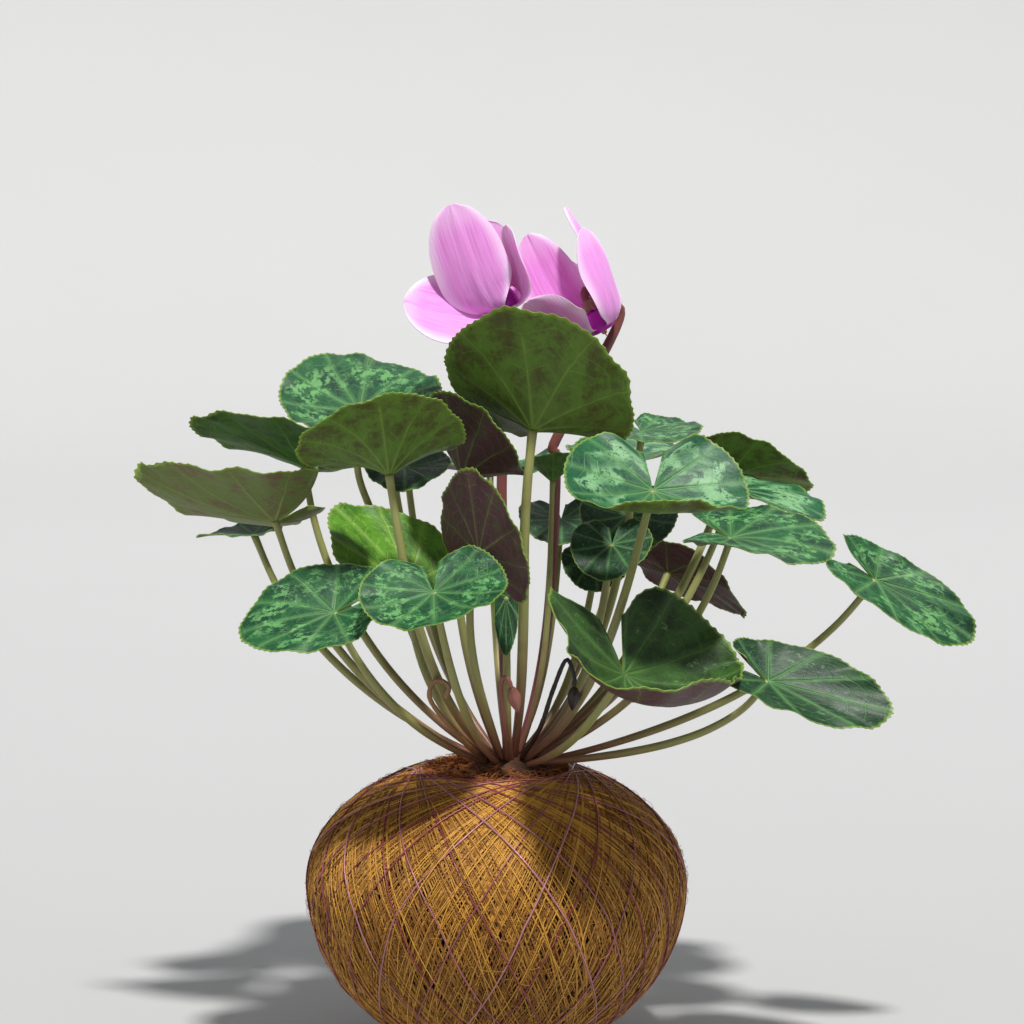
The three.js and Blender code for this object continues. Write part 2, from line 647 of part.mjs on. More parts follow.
// A loop is a slanted ring round the ball that touches the opening on one side, and the foot on the other.
function purpleThreads() {
  const lift = RELIEF + SEAT_GAP + PURPLE_RADIUS + PURPLE_LIFT;
  let threads = null;
  for (let loop = 0; loop < PURPLE_LOOPS; loop++) {
    const turn = (2 * Math.PI * (loop + 0.35 + 0.07 * Math.sin(5 * loop))) / PURPLE_LOOPS;
    const tilt = LOOP_TILT - 0.015 * (loop % 3);
    const rings = [];
    for (let i = 0; i < PURPLE_STEPS; i++) {
      const angle = (2 * Math.PI * i) / PURPLE_STEPS;
      const flat = new THREE.Vector3(Math.cos(angle), Math.sin(angle) * Math.cos(tilt), 0);
      flat.applyAxisAngle(new THREE.Vector3(0, 0, 1), turn);
      const height = Math.sin(angle) * Math.sin(tilt);
      rings.push([-1, 1, 0].map((side) => {
        const out = side === 0 ? lift + PURPLE_RADIUS : lift - 0.5 * PURPLE_RADIUS;
        const point = ballPoint(1, out, flat.x, flat.y, height);
        const across = new THREE.Vector3(0, -Math.sin(tilt), Math.cos(tilt))
          .applyAxisAngle(new THREE.Vector3(0, 0, 1), turn);
        return point.addScaledVector(across, 0.87 * PURPLE_RADIUS * side);
      }));
    }
    const triangles = [];
    for (let i = 0; i < PURPLE_STEPS; i++) {
      for (let k = 0; k < 3; k++) {
        const [a, b] = [3 * i + k, 3 * i + ((k + 1) % 3)];
        const next = 3 * ((i + 1) % PURPLE_STEPS);
        const [c, d] = [next + k, next + ((k + 1) % 3)];
        triangles.push(a, b, c, b, d, c);
      }
    }
    const ring = manifoldOf(rings.flat(), triangles);
    threads = threads ? threads.add(ring) : ring;
  }
  return threads;
}

// ---------- Flowers ----------

// The petals leave the bulb one above the other, so that their feet lie in layers.
function petalSolid(flower, petal, layer) {
  const axis = vector(flower.axis).normalize();
  const mouth = vector(flower.mouth);
  const reach = vector(petal.reach);
  const out = reach.clone().addScaledVector(axis, -reach.dot(axis)).normalize();
  const start = mouth.clone()
    .addScaledVector(out, MOUTH_RADIUS - 1.8).addScaledVector(axis, 1 + PETAL_LAYER * layer);
  const bend = start.clone().addScaledVector(out, 12).addScaledVector(axis, -4);
  const end = mouth.clone().add(reach);
  const [rows, columns] = [5, 3];
  const middle = [];
  const normals = [];
  for (let row = 0; row <= rows; row++) {
    const t = row / rows;
    const s = 1 - t;
    const spine = start.clone().multiplyScalar(s * s)
      .addScaledVector(bend, 2 * s * t).addScaledVector(end, t * t);
    const along = bend.clone().sub(start).multiplyScalar(s)
      .addScaledVector(end.clone().sub(bend), t).normalize();
    const side = new THREE.Vector3().crossVectors(out, axis)
      .applyAxisAngle(along, radians(petal.roll) * smooth(0, 0.5, t));
    const face = new THREE.Vector3().crossVectors(side, along);
    const half = petal.width * petalWidth(t);
    for (let column = 0; column <= columns; column++) {
      const v = (2 * column) / columns - 1;
      const cup = 0.12 * petal.width * (v * v) * smooth(0, 0.4, t);
      middle.push(spine.clone().addScaledVector(side, half * v).addScaledVector(face, cup));
      normals.push(face);
    }
  }
  const faces = [];
  for (let row = 0; row < rows; row++) {
    for (let column = 0; column < columns; column++) {
      const a = row * (columns + 1) + column;
      const b = a + columns + 1;
      faces.push([a, b, b + 1], [a, b + 1, a + 1]);
    }
  }
  const rim = [];
  const corner = (row, column) => row * (columns + 1) + column;
  for (let column = columns; column > 0; column--) {
    rim.push(corner(0, column));
  }
  for (let row = 0; row < rows; row++) {
    rim.push(corner(row, 0));
  }
  for (let column = 0; column < columns; column++) {
    rim.push(corner(rows, column));
  }
  for (let row = rows; row > 0; row--) {
    rim.push(corner(row, columns));
  }
  return sheet(middle, normals, faces, rim, PETAL_THICKNESS);
}

// Half width of a petal, as a part of its width: a narrow foot, widest past the middle, a blunt tip.
function petalWidth(t) {
  return 0.13 + 0.37 * smooth(0.05, 0.62, t) - 0.26 * smooth(0.78, 1, t);
}

function turned(geometry, axis, origin) {
  geometry.rotateX(Math.PI / 2);
  geometry.applyQuaternion(new THREE.Quaternion().setFromUnitVectors(new THREE.Vector3(0, 0, 1), axis));
  return manifoldFrom(geometry.translate(origin.x, origin.y, origin.z));
}

function flowerBulb(flower) {
  const profile = [[0, 2.5], [MOUTH_RADIUS - 1.6, 2.2], [MOUTH_RADIUS - 1, 0], [MOUTH_RADIUS + 0.4, 0],
    [MOUTH_RADIUS + 0.8, 3], [MOUTH_RADIUS - 0.6, 7], [2.4, BULB_HEIGHT], [0, BULB_HEIGHT]];
  const points = profile.map(([radius, height]) => new THREE.Vector2(radius, height));
  return turned(new THREE.LatheGeometry(points, 7), vector(flower.axis).normalize(), vector(flower.mouth));
}

// The stalk rises beside the mouth, hooks over above the bulb and comes down into the receptacle.
function flowerStalk(flower, strand) {
  const axis = vector(flower.axis).normalize();
  const mouth = vector(flower.mouth);
  const beside = mouth.clone().add(vector(flower.pass));
  const seat = mouth.clone().addScaledVector(axis, BULB_HEIGHT + SEAT_GAP);
  const sideways = vector(flower.pass).addScaledVector(axis, -vector(flower.pass).dot(axis)).normalize();
  const turns = [
    beside,
    seat.clone().addScaledVector(sideways, 6.6),
    seat.clone().addScaledVector(sideways, 5.2).addScaledVector(axis, 5.5),
    seat.clone().addScaledVector(sideways, 2).addScaledVector(axis, 8),
    seat.clone().addScaledVector(axis, 5.2),
    seat.clone().addScaledVector(axis, 1.5),
  ];
  const below = strand.points.filter((_, i) => i % STALK_STEP === 0);
  const [join, top] = below.splice(-2);
  const upper = new THREE.CatmullRomCurve3([join, top, ...turns], false, 'centripetal').getPoints(11);
  const points = [...below, ...upper];
  const radii = points.map((_, i) => (i < below.length
    ? strand.radii[STALK_STEP * i]
    : STALK_RADIUS.top - (STALK_RADIUS.top - STALK_RADIUS.hook) * smooth(7, 12, i)));
  const cup = [[0, 0], [2.6, 0], [3.4, 1.2], [2.2, 3.4], [0, 4]].map(([r, h]) => new THREE.Vector2(r, h));
  let solid = tube(points, radii, 5).add(turned(new THREE.LatheGeometry(cup, 8), axis, seat));
  for (let i = 0; i < SEPALS; i++) {
    const side = new THREE.Vector3(1, 0, 0).addScaledVector(axis, -axis.x).normalize()
      .applyAxisAngle(axis, (2 * Math.PI * i) / SEPALS);
    const tip = seat.clone().addScaledVector(side, 3.7).addScaledVector(axis, -0.7);
    const root = seat.clone().addScaledVector(side, 2).addScaledVector(axis, 1.2);
    const knee = seat.clone().addScaledVector(side, 3.1).addScaledVector(axis, 1);
    solid = solid.add(tube([root, knee, tip], [0.8, 0.7, 0.3], 3));
  }
  return solid;
}

// ---------- The plant ----------

const crownClearance = crownSolid(SEAT_GAP);

place('thread_winding', winding(), 0x9a6b22, 0.9);
place('purple_threads', purpleThreads(), 0x8c6a8e, 0.35);
place('growing_medium', medium(), 0x7a4a24, 1);
place('tuber', crownSolid(0), 0x4a3020, 0.9);

LEAVES.forEach((shape, i) => {
  const strand = LEAF_STRANDS[i];
  const points = strand.points.filter((_, k) => k % TUBE_STEP === 0);
  const radii = strand.radii.filter((_, k) => k % TUBE_STEP === 0);
  const solid = tube(points, radii, 5, leafFrame(shape).up).add(bladeSolid(shape)).subtract(crownClearance);
  place(shape.name, solid, 0x2f6b3f, 0.5);
});

FLOWERS.forEach((flower, i) => {
  let petals = flowerBulb(flower);
  flower.petals.forEach((petal, layer) => {
    petals = petals.add(petalSolid(flower, petal, layer));
  });
  place(`${flower.name}_petals`, petals, 0xe08ae0, 0.5);
  const stalk = flowerStalk(flower, FLOWER_STRANDS[i]).subtract(crownClearance);
  place(`${flower.name}_stalk`, stalk, 0x5a2430, 0.5);
});

SMALL_STALKS.forEach((stalk, i) => {
  const strand = SMALL_STRANDS[i];
  const points = strand.points.filter((_, k) => k % STALK_STEP === 0);
  let solid = tube(points, points.map(() => stalk.radius), 5);
  if (stalk.bud) {
    const { length, radius } = stalk.bud;
    const profile = [[0, -1], [radius * 0.6, 0], [radius, length * 0.35],
      [radius * 0.55, length * 0.75], [0, length]];
    const down = points[points.length - 1].clone().sub(points[points.length - 2]).normalize();
    const budGeometry = new THREE.LatheGeometry(profile.map(([r, h]) => new THREE.Vector2(r, h)), 8);
    solid = solid.add(turned(budGeometry, down, points[points.length - 1]));
  }
  place(stalk.name, solid.subtract(crownClearance), stalk.colour, 0.7);
});

export default plant;
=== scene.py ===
import math

import bpy
import numpy as np
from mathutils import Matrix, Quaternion, Vector


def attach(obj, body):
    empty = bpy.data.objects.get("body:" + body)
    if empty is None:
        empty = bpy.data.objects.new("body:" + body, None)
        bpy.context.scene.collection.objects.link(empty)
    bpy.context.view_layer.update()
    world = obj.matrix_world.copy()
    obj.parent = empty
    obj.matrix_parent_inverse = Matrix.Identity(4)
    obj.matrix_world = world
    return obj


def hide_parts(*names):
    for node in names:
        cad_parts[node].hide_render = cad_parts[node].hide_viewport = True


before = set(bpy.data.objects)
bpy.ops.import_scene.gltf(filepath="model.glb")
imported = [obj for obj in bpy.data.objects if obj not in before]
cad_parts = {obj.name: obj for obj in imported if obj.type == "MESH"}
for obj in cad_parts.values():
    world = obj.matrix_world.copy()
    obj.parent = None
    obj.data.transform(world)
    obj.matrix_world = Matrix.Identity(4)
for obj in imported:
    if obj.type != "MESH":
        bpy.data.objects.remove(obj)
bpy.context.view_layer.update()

# A cyclamen that grows out of a ball wound with golden thread. The numbers below are in
# millimetres, +Z up, with -Y the front, and make_piece turns them into Blender's metres.

MM = 0.001
chance = np.random.default_rng(20611)

# ---------- Ball ----------

BALL_RADIUS = 74.0
BALL_MIDDLE = 65.0
UPPER_HALF = 49.0
LOWER_HALF = 67.5
OPENING_RADIUS = 29.5
LOOP_TOP = math.radians(66.4)  # latitude where a loop of thread touches the opening
CORE_DEPTH, CORE_SKIN = 1.6, 2.0  # the dark ground under the threads, and its own thickness
GROUND_TOP = math.radians(69)
GROUND_GRID = (60, 96)  # rows and columns of its points

GOLDEN_LOOPS = 1150
GOLDEN_RADIUS = 0.25
PURPLE_LOOPS = 22
PURPLE_RADIUS = 0.33
LOOP_STEPS = 72
GOLDEN_LIFTS, PURPLE_LIFTS = (-1.0, 0.55), (0.75, 0.95)  # how far off the ball a loop runs
GOLDEN_FOOT, PURPLE_FOOT = (66, 23), (67, 6)  # southern latitude of a loop's foot, and its spread
FUZZ_FIBRES = 2600
FUZZ_LENGTH, FUZZ_LIFT, FUZZ_RADIUS = (2.5, 8.0), (0.2, 1.7), 0.085

# ---------- Crown ----------

MOUND_TOP = 111.0
MOUND_FALL = 2.0  # how much lower it lies at the opening's edge
MOUND_LUMP = 0.9
MOUND_FOOT = 101.0
MOUND_GRID = (40, 90)
CROWN = (5.0, 0.0, 107.0)
CROWN_RADIUS, CROWN_RISE, CROWN_FALL = 18.5, 9.5, 7.0
COIR_FIBRES = 1500
COIR_LENGTH, COIR_RADIUS = (3, 12), (0.1, 0.26)
COIR_PAST_EDGE = 1.6  # how far a fibre may reach over the opening's edge
CRUMBS = 170

# ---------- Leaves ----------

SINUS = math.radians(12)  # half of the notch at the leaf's base
WIDEST = math.pi - SINUS
BLADE_THICKNESS = 0.55
TOOTH = 0.017
RUFFLE = 0.017
BLADE_GRID = {True: (24, 264, 33), False: (16, 168, 21)}  # rows, columns and teeth, by large or small
VEIN_RELIEF = (0.28, 0.42)  # how far the main veins sink above and stand out below
VEIN_PAIRS = 5.5  # main veins between the midrib and the notch, on each side
MAIN_VEIN = (0.0175, 0.012)  # half width at its foot, and how much of it goes to the margin
SIDE_VEINS = 6.5  # side veins along a main one
NET_CELLS = 17.0  # meshes of the finest veins along a blade
TOP_MARGIN, UNDER_MARGIN = (120, 150, 62), (124, 154, 58)

PETIOLE = (1.25, 1.6, 1.35)  # radii at its base, middle and end
PETIOLE_STEPS = 64

# The CAD blade's columns and inner rings, by large or small, how far its teeth reach, how close
# the corners of one ring of a stalk lie, and how far a stalk's corners lie from the blade's.
CAD_BLADE = {True: (13, (0.36, 0.72)), False: (8, (0.5,))}
CAD_TOOTH = 0.02
RING_REACH = 4.6
BLADE_CLEARANCE, ROOT_CLEARANCE = 0.6, 3.6


def leaf(name, at, size, turn, curl, top, under, **more):
    usual = {"width": 1.0, "funnel": 0.08, "lobe": 0.75, "taper": 0.0, "thick": 1.0, "large": True}
    return {**usual, "name": "leaf_" + name, "at": at, "size": size, "turn": turn, "curl": curl,
            "looks": ("top_" + top, "under_" + under), **more}


# Where the stalk meets the blade, the size from there to the tip, the heading, rise and roll
# of the midrib, the bends of the left side, right side, tip and lobes, and both faces' finishes.
LEAVES = [
    leaf("far_left", (-85, -15, 210), 57, (184, 3, -34), (10, 30, 25, 110),
         "marbled", "mixed", width=0.7, funnel=0.12, lobe=0.45, taper=0.5),
    leaf("under_far_left", (-97, 33, 199), 22, (175, -2, 2), (10, 10, -10, 10),
         "dark", "green", width=0.8, lobe=0.5, large=False),
    leaf("upper_left", (-76, 20, 228), 45, (182, 20, -30), (10, 30, -10, 90),
         "dark", "green", width=0.75, funnel=0.12, lobe=0.6, taper=0.5),
    leaf("marbled_upper_left", (-54, 25, 249), 38, (85, 34, -4), (20, 10, -20, 20),
         "marbled", "green", width=0.95),
    leaf("olive_upper_left", (-40, -44, 231), 31, (-95, 36, -6), (-15, -35, -20, 10),
         "marbled", "olive", width=0.92, funnel=0.6, thick=1.15),
    leaf("purple_middle", (-13, -12, 227), 33, (-125, 46, 10), (-10, 0, 0, 60),
         "dark", "purple", width=0.84, funnel=0.4, lobe=0.6),
    leaf("tallest", (14, -25, 246), 47, (-108, 52, 5), (-25, -10, -10, 0),
         "marbled", "olive", width=0.98, funnel=0.35, lobe=0.32, thick=1.3),
    leaf("flat_upper_right", (57, 5, 243), 24, (-60, -3, 0), (10, 10, -10, 10),
         "marbled", "green", width=1.05),
    leaf("marbled_front_upper", (59, -50, 226), 36, (-90, -50, 8), (10, 10, 90, 0),
         "silver", "olive", width=1.1, thick=1.1),
    leaf("olive_upper_right", (94, 59, 219), 31, (-10, -5, 45), (-10, -20, -20, 0),
         "dark", "olive", width=0.74, funnel=0.25, lobe=0.5, thick=1.15),
    leaf("right", (91, -10, 203), 38, (-12, -2, -16), (15, 15, -20, 10),
         "marbled", "green", width=0.8, lobe=0.45),
    leaf("silver_right", (95, 33, 217), 36, (-8, -10, -10), (-15, 15, -20, -40),
         "silver", "green", width=0.8, lobe=0.45),
    leaf("far_right", (146, -20, 188), 42, (-8, -30, -50), (25, 5, -10, 15),
         "marbled", "olive", width=0.4, lobe=0.5),
    leaf("cupped_right", (104, -35, 151), 46, (-8, -16, -40), (50, 30, 0, 40),
         "dark", "purple", width=0.5, lobe=0.38),
    leaf("folded_front_right", (48, -60, 158), 52, (-56, -52, 15), (38, 25, 102, 0),
         "olive", "purple", width=1.1),
    leaf("marbled_front_left", (-23, -60, 189), 27, (-85, -38, -10), (10, 10, 30, 15),
         "marbled", "olive", width=1.15),
    # This leaf's top takes top_bright, the copy with painted sunlight.
    leaf("bright_left", (-34, -5, 184), 40, (165, 45, 30), (10, 10, -10, 30),
         "bright", "green", width=0.78, lobe=0.5),
    leaf("low_left", (-61, -45, 179), 35, (-178, -8, 38), (15, 25, -20, 60),
         "marbled", "purple", width=0.64, taper=-0.2),
    leaf("upright_purple", (-6, -43, 201), 32, (-140, 75, 0), (0, 0, 0, 0),
         "dark", "purple", width=0.95, lobe=0.7, taper=0.3),
    leaf("small_hanging", (4, -30, 183), 22, (-90, -75, 0), (10, 10, 0, 0),
         "dark", "olive", width=0.26, lobe=0.5, large=False),
    # The shaded leaves take top_dark, whose darkness is partly painted shade.
    leaf("shaded_right", (52, 22, 208), 20, (-90, -38, 0), (15, 15, -20, 20),
         "dark", "green", width=1.1, large=False),
    leaf("shaded_low_right", (45, -6, 200), 18, (-100, -35, 0), (15, 15, -20, 20),
         "dark", "green", large=False),
    leaf("shaded_middle", (26, 44, 204), 18, (-90, -20, 0), (15, 15, -20, 20),
         "dark", "olive", width=1.1, large=False),
    leaf("shaded_low_middle", (40, 38, 187), 16, (-90, -30, 0), (15, 15, -20, 20),
         "dark", "olive", large=False),
    leaf("purple_right", (70, 60, 180), 35, (-12, -18, 45), (10, 10, -30, 20),
         "dark", "purple", width=0.52, lobe=0.5),
    leaf("shaded_left", (-36, 34, 226), 20, (-90, -15, 0), (15, 15, -20, 20),
         "dark", "purple", large=False),
    leaf("back_left", (-44, 72, 233), 36, (115, 10, 0), (20, 20, -20, 20),
         "marbled", "olive", width=0.95),
    leaf("back_right", (57, 82, 224), 36, (50, 8, 0), (20, 20, -20, 20),
         "silver", "olive", width=0.95),
    leaf("back_middle", (-3, 95, 217), 34, (102, 5, 0), (20, 20, -20, 20),
         "marbled", "purple", width=0.95),
    # This leaf's top takes top_bright, the copy with painted sunlight.
    leaf("young", (22, 0, 224), 13, (-90, 20, 0), (0, 0, 0, 0),
         "bright", "green", width=0.9, funnel=0.6, thick=0.75, large=False),
]

# ---------- Flowers ----------

MOUTH_RADIUS = 4.6
BULB_HEIGHT = 9.0
PETAL_THICKNESS = 0.45
PETAL_LAYER = 0.45
PETAL_GRID = (44, 33)
PETAL_BEND = (12, 4)  # how far out and down from its foot a petal bends
PETAL_RUFFLE = 0.8
SEAT_GAP = 0.3
SEPAL_GRID = (9, 7)

# radius and height along the flower's axis
BULB = [(0.02, 2.6), (2.9, 2.3), (3.5, 0.4), (4.3, -0.1), (5.1, 0.6), (5.4, 3.0), (4.0, 7.0),
        (2.4, 8.7), (0.02, BULB_HEIGHT)]
SEAT = [(0.02, -0.05), (2.4, 0), (3.3, 1.0), (2.9, 2.6), (1.5, 4.2), (0.02, 4.6)]

# The stalk's way over into the bulb: how far aside of the seat and how far up.
HOOK = [(6.6, 0), (5.2, 5.5), (2, 8), (0, 5.2), (0, 1.5)]

# mouth, axis up through the bulb, where the stalk passes the mouth, the stalk's bend below,
# and for each petal its reach from the mouth, the roll of its face and its width
FLOWERS = [
    {"name": "flower_left", "mouth": (4.5, 12, 290), "axis": (-0.3, 0, 0.95),
     "pass": (-9.5, 7.5, -3), "below": (2, 29, 232),
     "petals": [((-40, -12, 4), -60, 31), ((-22, -10, 41), 40, 29), ((-1, -7, 33), 65, 18),
                ((-9, 14, 34), 20, 20), ((7, 17, 12), 0, 16)]},
    {"name": "flower_right", "mouth": (42, 12, 282), "axis": (-0.5, 0, 0.87),
     "pass": (6.6, 9.6, 3.8), "below": (24, 14, 240),
     "petals": [((-30, 4, 37), -45, 24), ((-15, 0, 48), -5, 20), ((-9, -11, 40), 10, 22),
                ((-30, -14, 12), 20, 24), ((-20, 20, 27), -10, 18)]},
]

SMALL_STALKS = [
    {"name": "withered_stalk_left", "radius": 1.1, "finish": "dry_stalk", "bud": None,
     "points": [(-4, -7, 114), (-14, -22, 127), (-25, -31, 143), (-23, -33, 151),
                (-18, -33, 149), (-19, -33, 144)]},
    {"name": "withered_stalk_right", "radius": 1.0, "finish": "dark_stalk", "bud": (9, 2.4),
     "points": [(10, -8, 116), (17, -20, 130), (22, -25, 146), (27, -27, 158),
                (30, -27, 152), (30, -27, 147)]},
    {"name": "young_bud", "radius": 1.1, "finish": "young_bud", "bud": (10, 2.6),
     "points": [(4, -9, 116), (3, -23, 132), (2, -30, 147), (3, -32, 152),
                (5, -33, 151), (6, -33, 148)]},
]

# ---------- Room, light and camera, in metres ----------

FLOOR_RADIUS, WALL_HEIGHT = 2.2, 1.6
FLOOR_TONES = (176, 177, 178), (173, 174, 175)
SUN_ENERGY, SUN_FROM = 4.2, (0.16, -0.5, 1.15)
PLANT = (0.02, 0, 0.17)

# name, place, width, power and what it shines at
SOFT_LIGHTS = [
    ("fill_left", (-1.6, -1.0, 0.7), 1.2, 3, PLANT),
    ("fill_right", (1.6, -0.8, 0.8), 1.2, 2.5, PLANT),
    ("back", (0.3, 1.5, 1.3), 1.0, 2, PLANT),
    ("wall_wash", (0.0, 0.9, 2.3), 1.5, 8, (0, 3.8, 0.9)),
]
SKY = (0.95, 0.97, 1.0, 1), 0.32  # colour and strength
CAMERA_LENS, CAMERA_PLACE = 118.1, (0.0062, -1.3, 0.366)
CAMERA_PITCH = 6.76  # degrees it looks down

# ---------- Shader helpers ----------

def colours(*tones):
    """Colours in 0 to 255, as a picture shows them, turned into light."""
    def light(value):
        part = value / 255
        return part / 12.92 if part <= 0.04045 else ((part + 0.055) / 1.055) ** 2.4
    return [(*(light(value) for value in tone), 1.0) for tone in tones]


class Tree:
    """Adds nodes to a node tree, and gives each input a value or a link."""

    def __init__(self, tree):
        self.tree = tree

    def add(self, kind, inputs=None, **settings):
        node = self.tree.nodes.new(kind)
        for key, value in settings.items():
            setattr(node, key, value)
        for key, value in (inputs or {}).items():
            self.feed(node.inputs[key], value)
        return node

    def feed(self, socket, value):
        if isinstance(value, bpy.types.NodeSocket):
            self.tree.links.new(value, socket)
        else:
            socket.default_value = value

    def math(self, operation, first, second=0.0, third=0.0):
        inputs = {0: first, 1: second, 2: third}
        return self.add("ShaderNodeMath", inputs, operation=operation).outputs[0]

    def times(self, first, second):
        return self.math("MULTIPLY", first, second)

    def fused(self, value, factor, extra):
        """The value times the factor, plus the extra."""
        return self.math("MULTIPLY_ADD", value, factor, extra)

    def off_whole(self, value):
        """How far a value is from the nearest whole number."""
        return self.math("ABSOLUTE", self.math("SUBTRACT", value, self.math("ROUND", value)))

    def mix(self, factor, first, second):
        return self.add("ShaderNodeMix", {0: factor, 6: first, 7: second}, data_type="RGBA").outputs[2]

    def span(self, value, low, high, start=0.0, end=1.0):
        node = self.add("ShaderNodeMapRange", {0: value, 1: low, 2: high, 3: start, 4: end})
        node.interpolation_type = "SMOOTHSTEP"
        return node.outputs[0]

    def noise(self, vector, scale, detail=3.0, roughness=0.55):
        node = self.add("ShaderNodeTexNoise", {"Vector": vector, "Scale": scale, "Detail": detail,
                                               "Roughness": roughness})
        return node.outputs[0]

    def cells(self, vector, scale):
        inputs = {"Vector": vector, "Scale": scale}
        return self.add("ShaderNodeTexVoronoi", inputs, feature="DISTANCE_TO_EDGE").outputs[0]

    def map(self, name):
        return self.add("ShaderNodeUVMap", uv_map=name).outputs[0]

    def place(self):
        return self.add("ShaderNodeTexCoord").outputs["Object"]

    def parts(self, vector):
        node = self.add("ShaderNodeSeparateXYZ", {0: vector})
        return node.outputs[0], node.outputs[1], node.outputs[2]

    def scaled(self, vector, x, y, z):
        node = self.add("ShaderNodeMapping", {"Vector": vector, "Scale": (x, y, z)})
        return node.outputs[0]

    def group(self, group, **inputs):
        node = self.add("ShaderNodeGroup", node_tree=group)
        for key, value in inputs.items():
            self.feed(node.inputs[key.replace("_", " ").capitalize()], value)
        return node


def new_group(name, inputs, outputs):
    """A group with named inputs and outputs, and the sockets to build it from."""
    group = bpy.data.node_groups.new(name, "ShaderNodeTree")
    for label, kind in inputs:
        group.interface.new_socket(label, in_out="INPUT", socket_type="NodeSocket" + kind)
    for label, kind in outputs:
        group.interface.new_socket(label, in_out="OUTPUT", socket_type="NodeSocket" + kind)
    tree = Tree(group)
    start = tree.add("NodeGroupInput").outputs
    end = tree.add("NodeGroupOutput").inputs
    return tree, start, end


def blade_veins():
    """Main veins that fan out from the stalk, side veins that leave them, and a fine net."""
    tree, given, out = new_group(
        "blade veins", [("Polar", "Vector"), ("Flat", "Vector")],
        [("Main", "Float"), ("Side", "Float"), ("Net", "Float"), ("Field", "Float")])
    turn, rho, _ = tree.parts(given["Polar"])
    wobble = tree.fused(tree.noise(given["Flat"], 3.0), 0.3, -0.15)
    angle = tree.times(tree.math("ABSOLUTE", tree.math("SUBTRACT", turn, 0.5)), 2 * VEIN_PAIRS)
    near = tree.off_whole(tree.math("ADD", angle, tree.times(wobble, rho)))
    away = tree.times(tree.times(near, math.pi / VEIN_PAIRS), rho)
    width = tree.fused(rho, -MAIN_VEIN[1], MAIN_VEIN[0])
    main = tree.span(tree.math("DIVIDE", away, width), 0.3, 1.15, 1.0, 0.0)
    out_along = tree.fused(near, -1.3, tree.times(rho, SIDE_VEINS))
    out_along = tree.math("ADD", out_along, tree.times(wobble, 2.0))
    side = tree.span(tree.off_whole(out_along), 0.02, 0.1, 1.0, 0.0)
    side = tree.times(side, tree.span(rho, 0.15, 0.4))
    net = tree.span(tree.cells(given["Flat"], NET_CELLS), 0.0, 0.09, 1.0, 0.0)
    for label, value in (("Main", main), ("Side", side), ("Net", net), ("Field", near)):
        tree.feed(out[label], value)
    return tree.tree


def patchy():
    """Two colours in soft patches of two sizes."""
    tree, given, out = new_group(
        "patchy", [("Vector", "Vector"), ("Scale", "Float"), ("First", "Color"), ("Second", "Color")],
        [("Colour", "Color")])
    coarse = tree.noise(given["Vector"], given["Scale"], 4.0)
    fine = tree.noise(given["Vector"], tree.times(given["Scale"], 7.0), 2.0)
    mask = tree.span(tree.fused(fine, 0.3, coarse), 0.5, 0.8)
    tree.feed(out["Colour"], tree.mix(mask, given["First"], given["Second"]))
    return tree.tree


def strand_twist():
    """The slanted plies of a twisted strand, from its length and turn coordinates."""
    tree, given, out = new_group(
        "strand twist", [("Strand", "Vector"), ("Plies", "Float")],
        [("Height", "Float"), ("Tone", "Float")])
    along, around, _ = tree.parts(given["Strand"])
    slant = tree.math("ADD", tree.times(along, given["Plies"]), tree.times(around, 2.0))
    wave = tree.math("ABSOLUTE", tree.math("SINE", tree.times(slant, math.pi)))
    fleck = tree.noise(given["Strand"], 40.0, 2.0)
    tree.feed(out["Height"], tree.fused(fleck, 0.4, wave))
    tree.feed(out["Tone"], tree.noise(given["Strand"], 2.3, 4.0))
    return tree.tree


VEINS = blade_veins()
PATCHY = patchy()
TWIST = strand_twist()
FINISHES = {}


def finish(name, build, rough=0.5, bump=0.3, distance=0.0005, **sockets):
    """A material whose colour, roughness and relief come from the function that is given."""
    material = bpy.data.materials.new(name)
    material.use_nodes = True
    tree = Tree(material.node_tree)
    shader = material.node_tree.nodes["Principled BSDF"]
    parts = build(tree)
    tree.feed(shader.inputs["Base Color"], parts["colour"])
    tree.feed(shader.inputs["Roughness"], parts.get("rough", rough))
    relief = {"Strength": bump, "Distance": distance, "Height": parts["height"]}
    tree.feed(shader.inputs["Normal"], tree.add("ShaderNodeBump", relief).outputs[0])
    for label, value in sockets.items():
        shader.inputs[label.replace("_", " ")].default_value = value
    FINISHES[name] = material


def blade_parts(tree):
    """What both faces of a blade start from: its veins, the way out from its stalk, its plane."""
    polar, flat = tree.map("polar"), tree.map("flat")
    return tree.group(VEINS, polar=polar, flat=flat).outputs, tree.parts(polar)[1], flat


def veined(tree, shade, veins, vein, **shares):
    for kind, share in shares.items():
        shade = tree.mix(tree.times(veins[kind], share), shade, vein)
    return shade


def blade_relief(tree, veins, flat, scale, **depths):
    hills = tree.noise(flat, scale, 3.0)
    for kind, depth in depths.items():
        hills = tree.fused(veins[kind], depth, hills)
    return hills


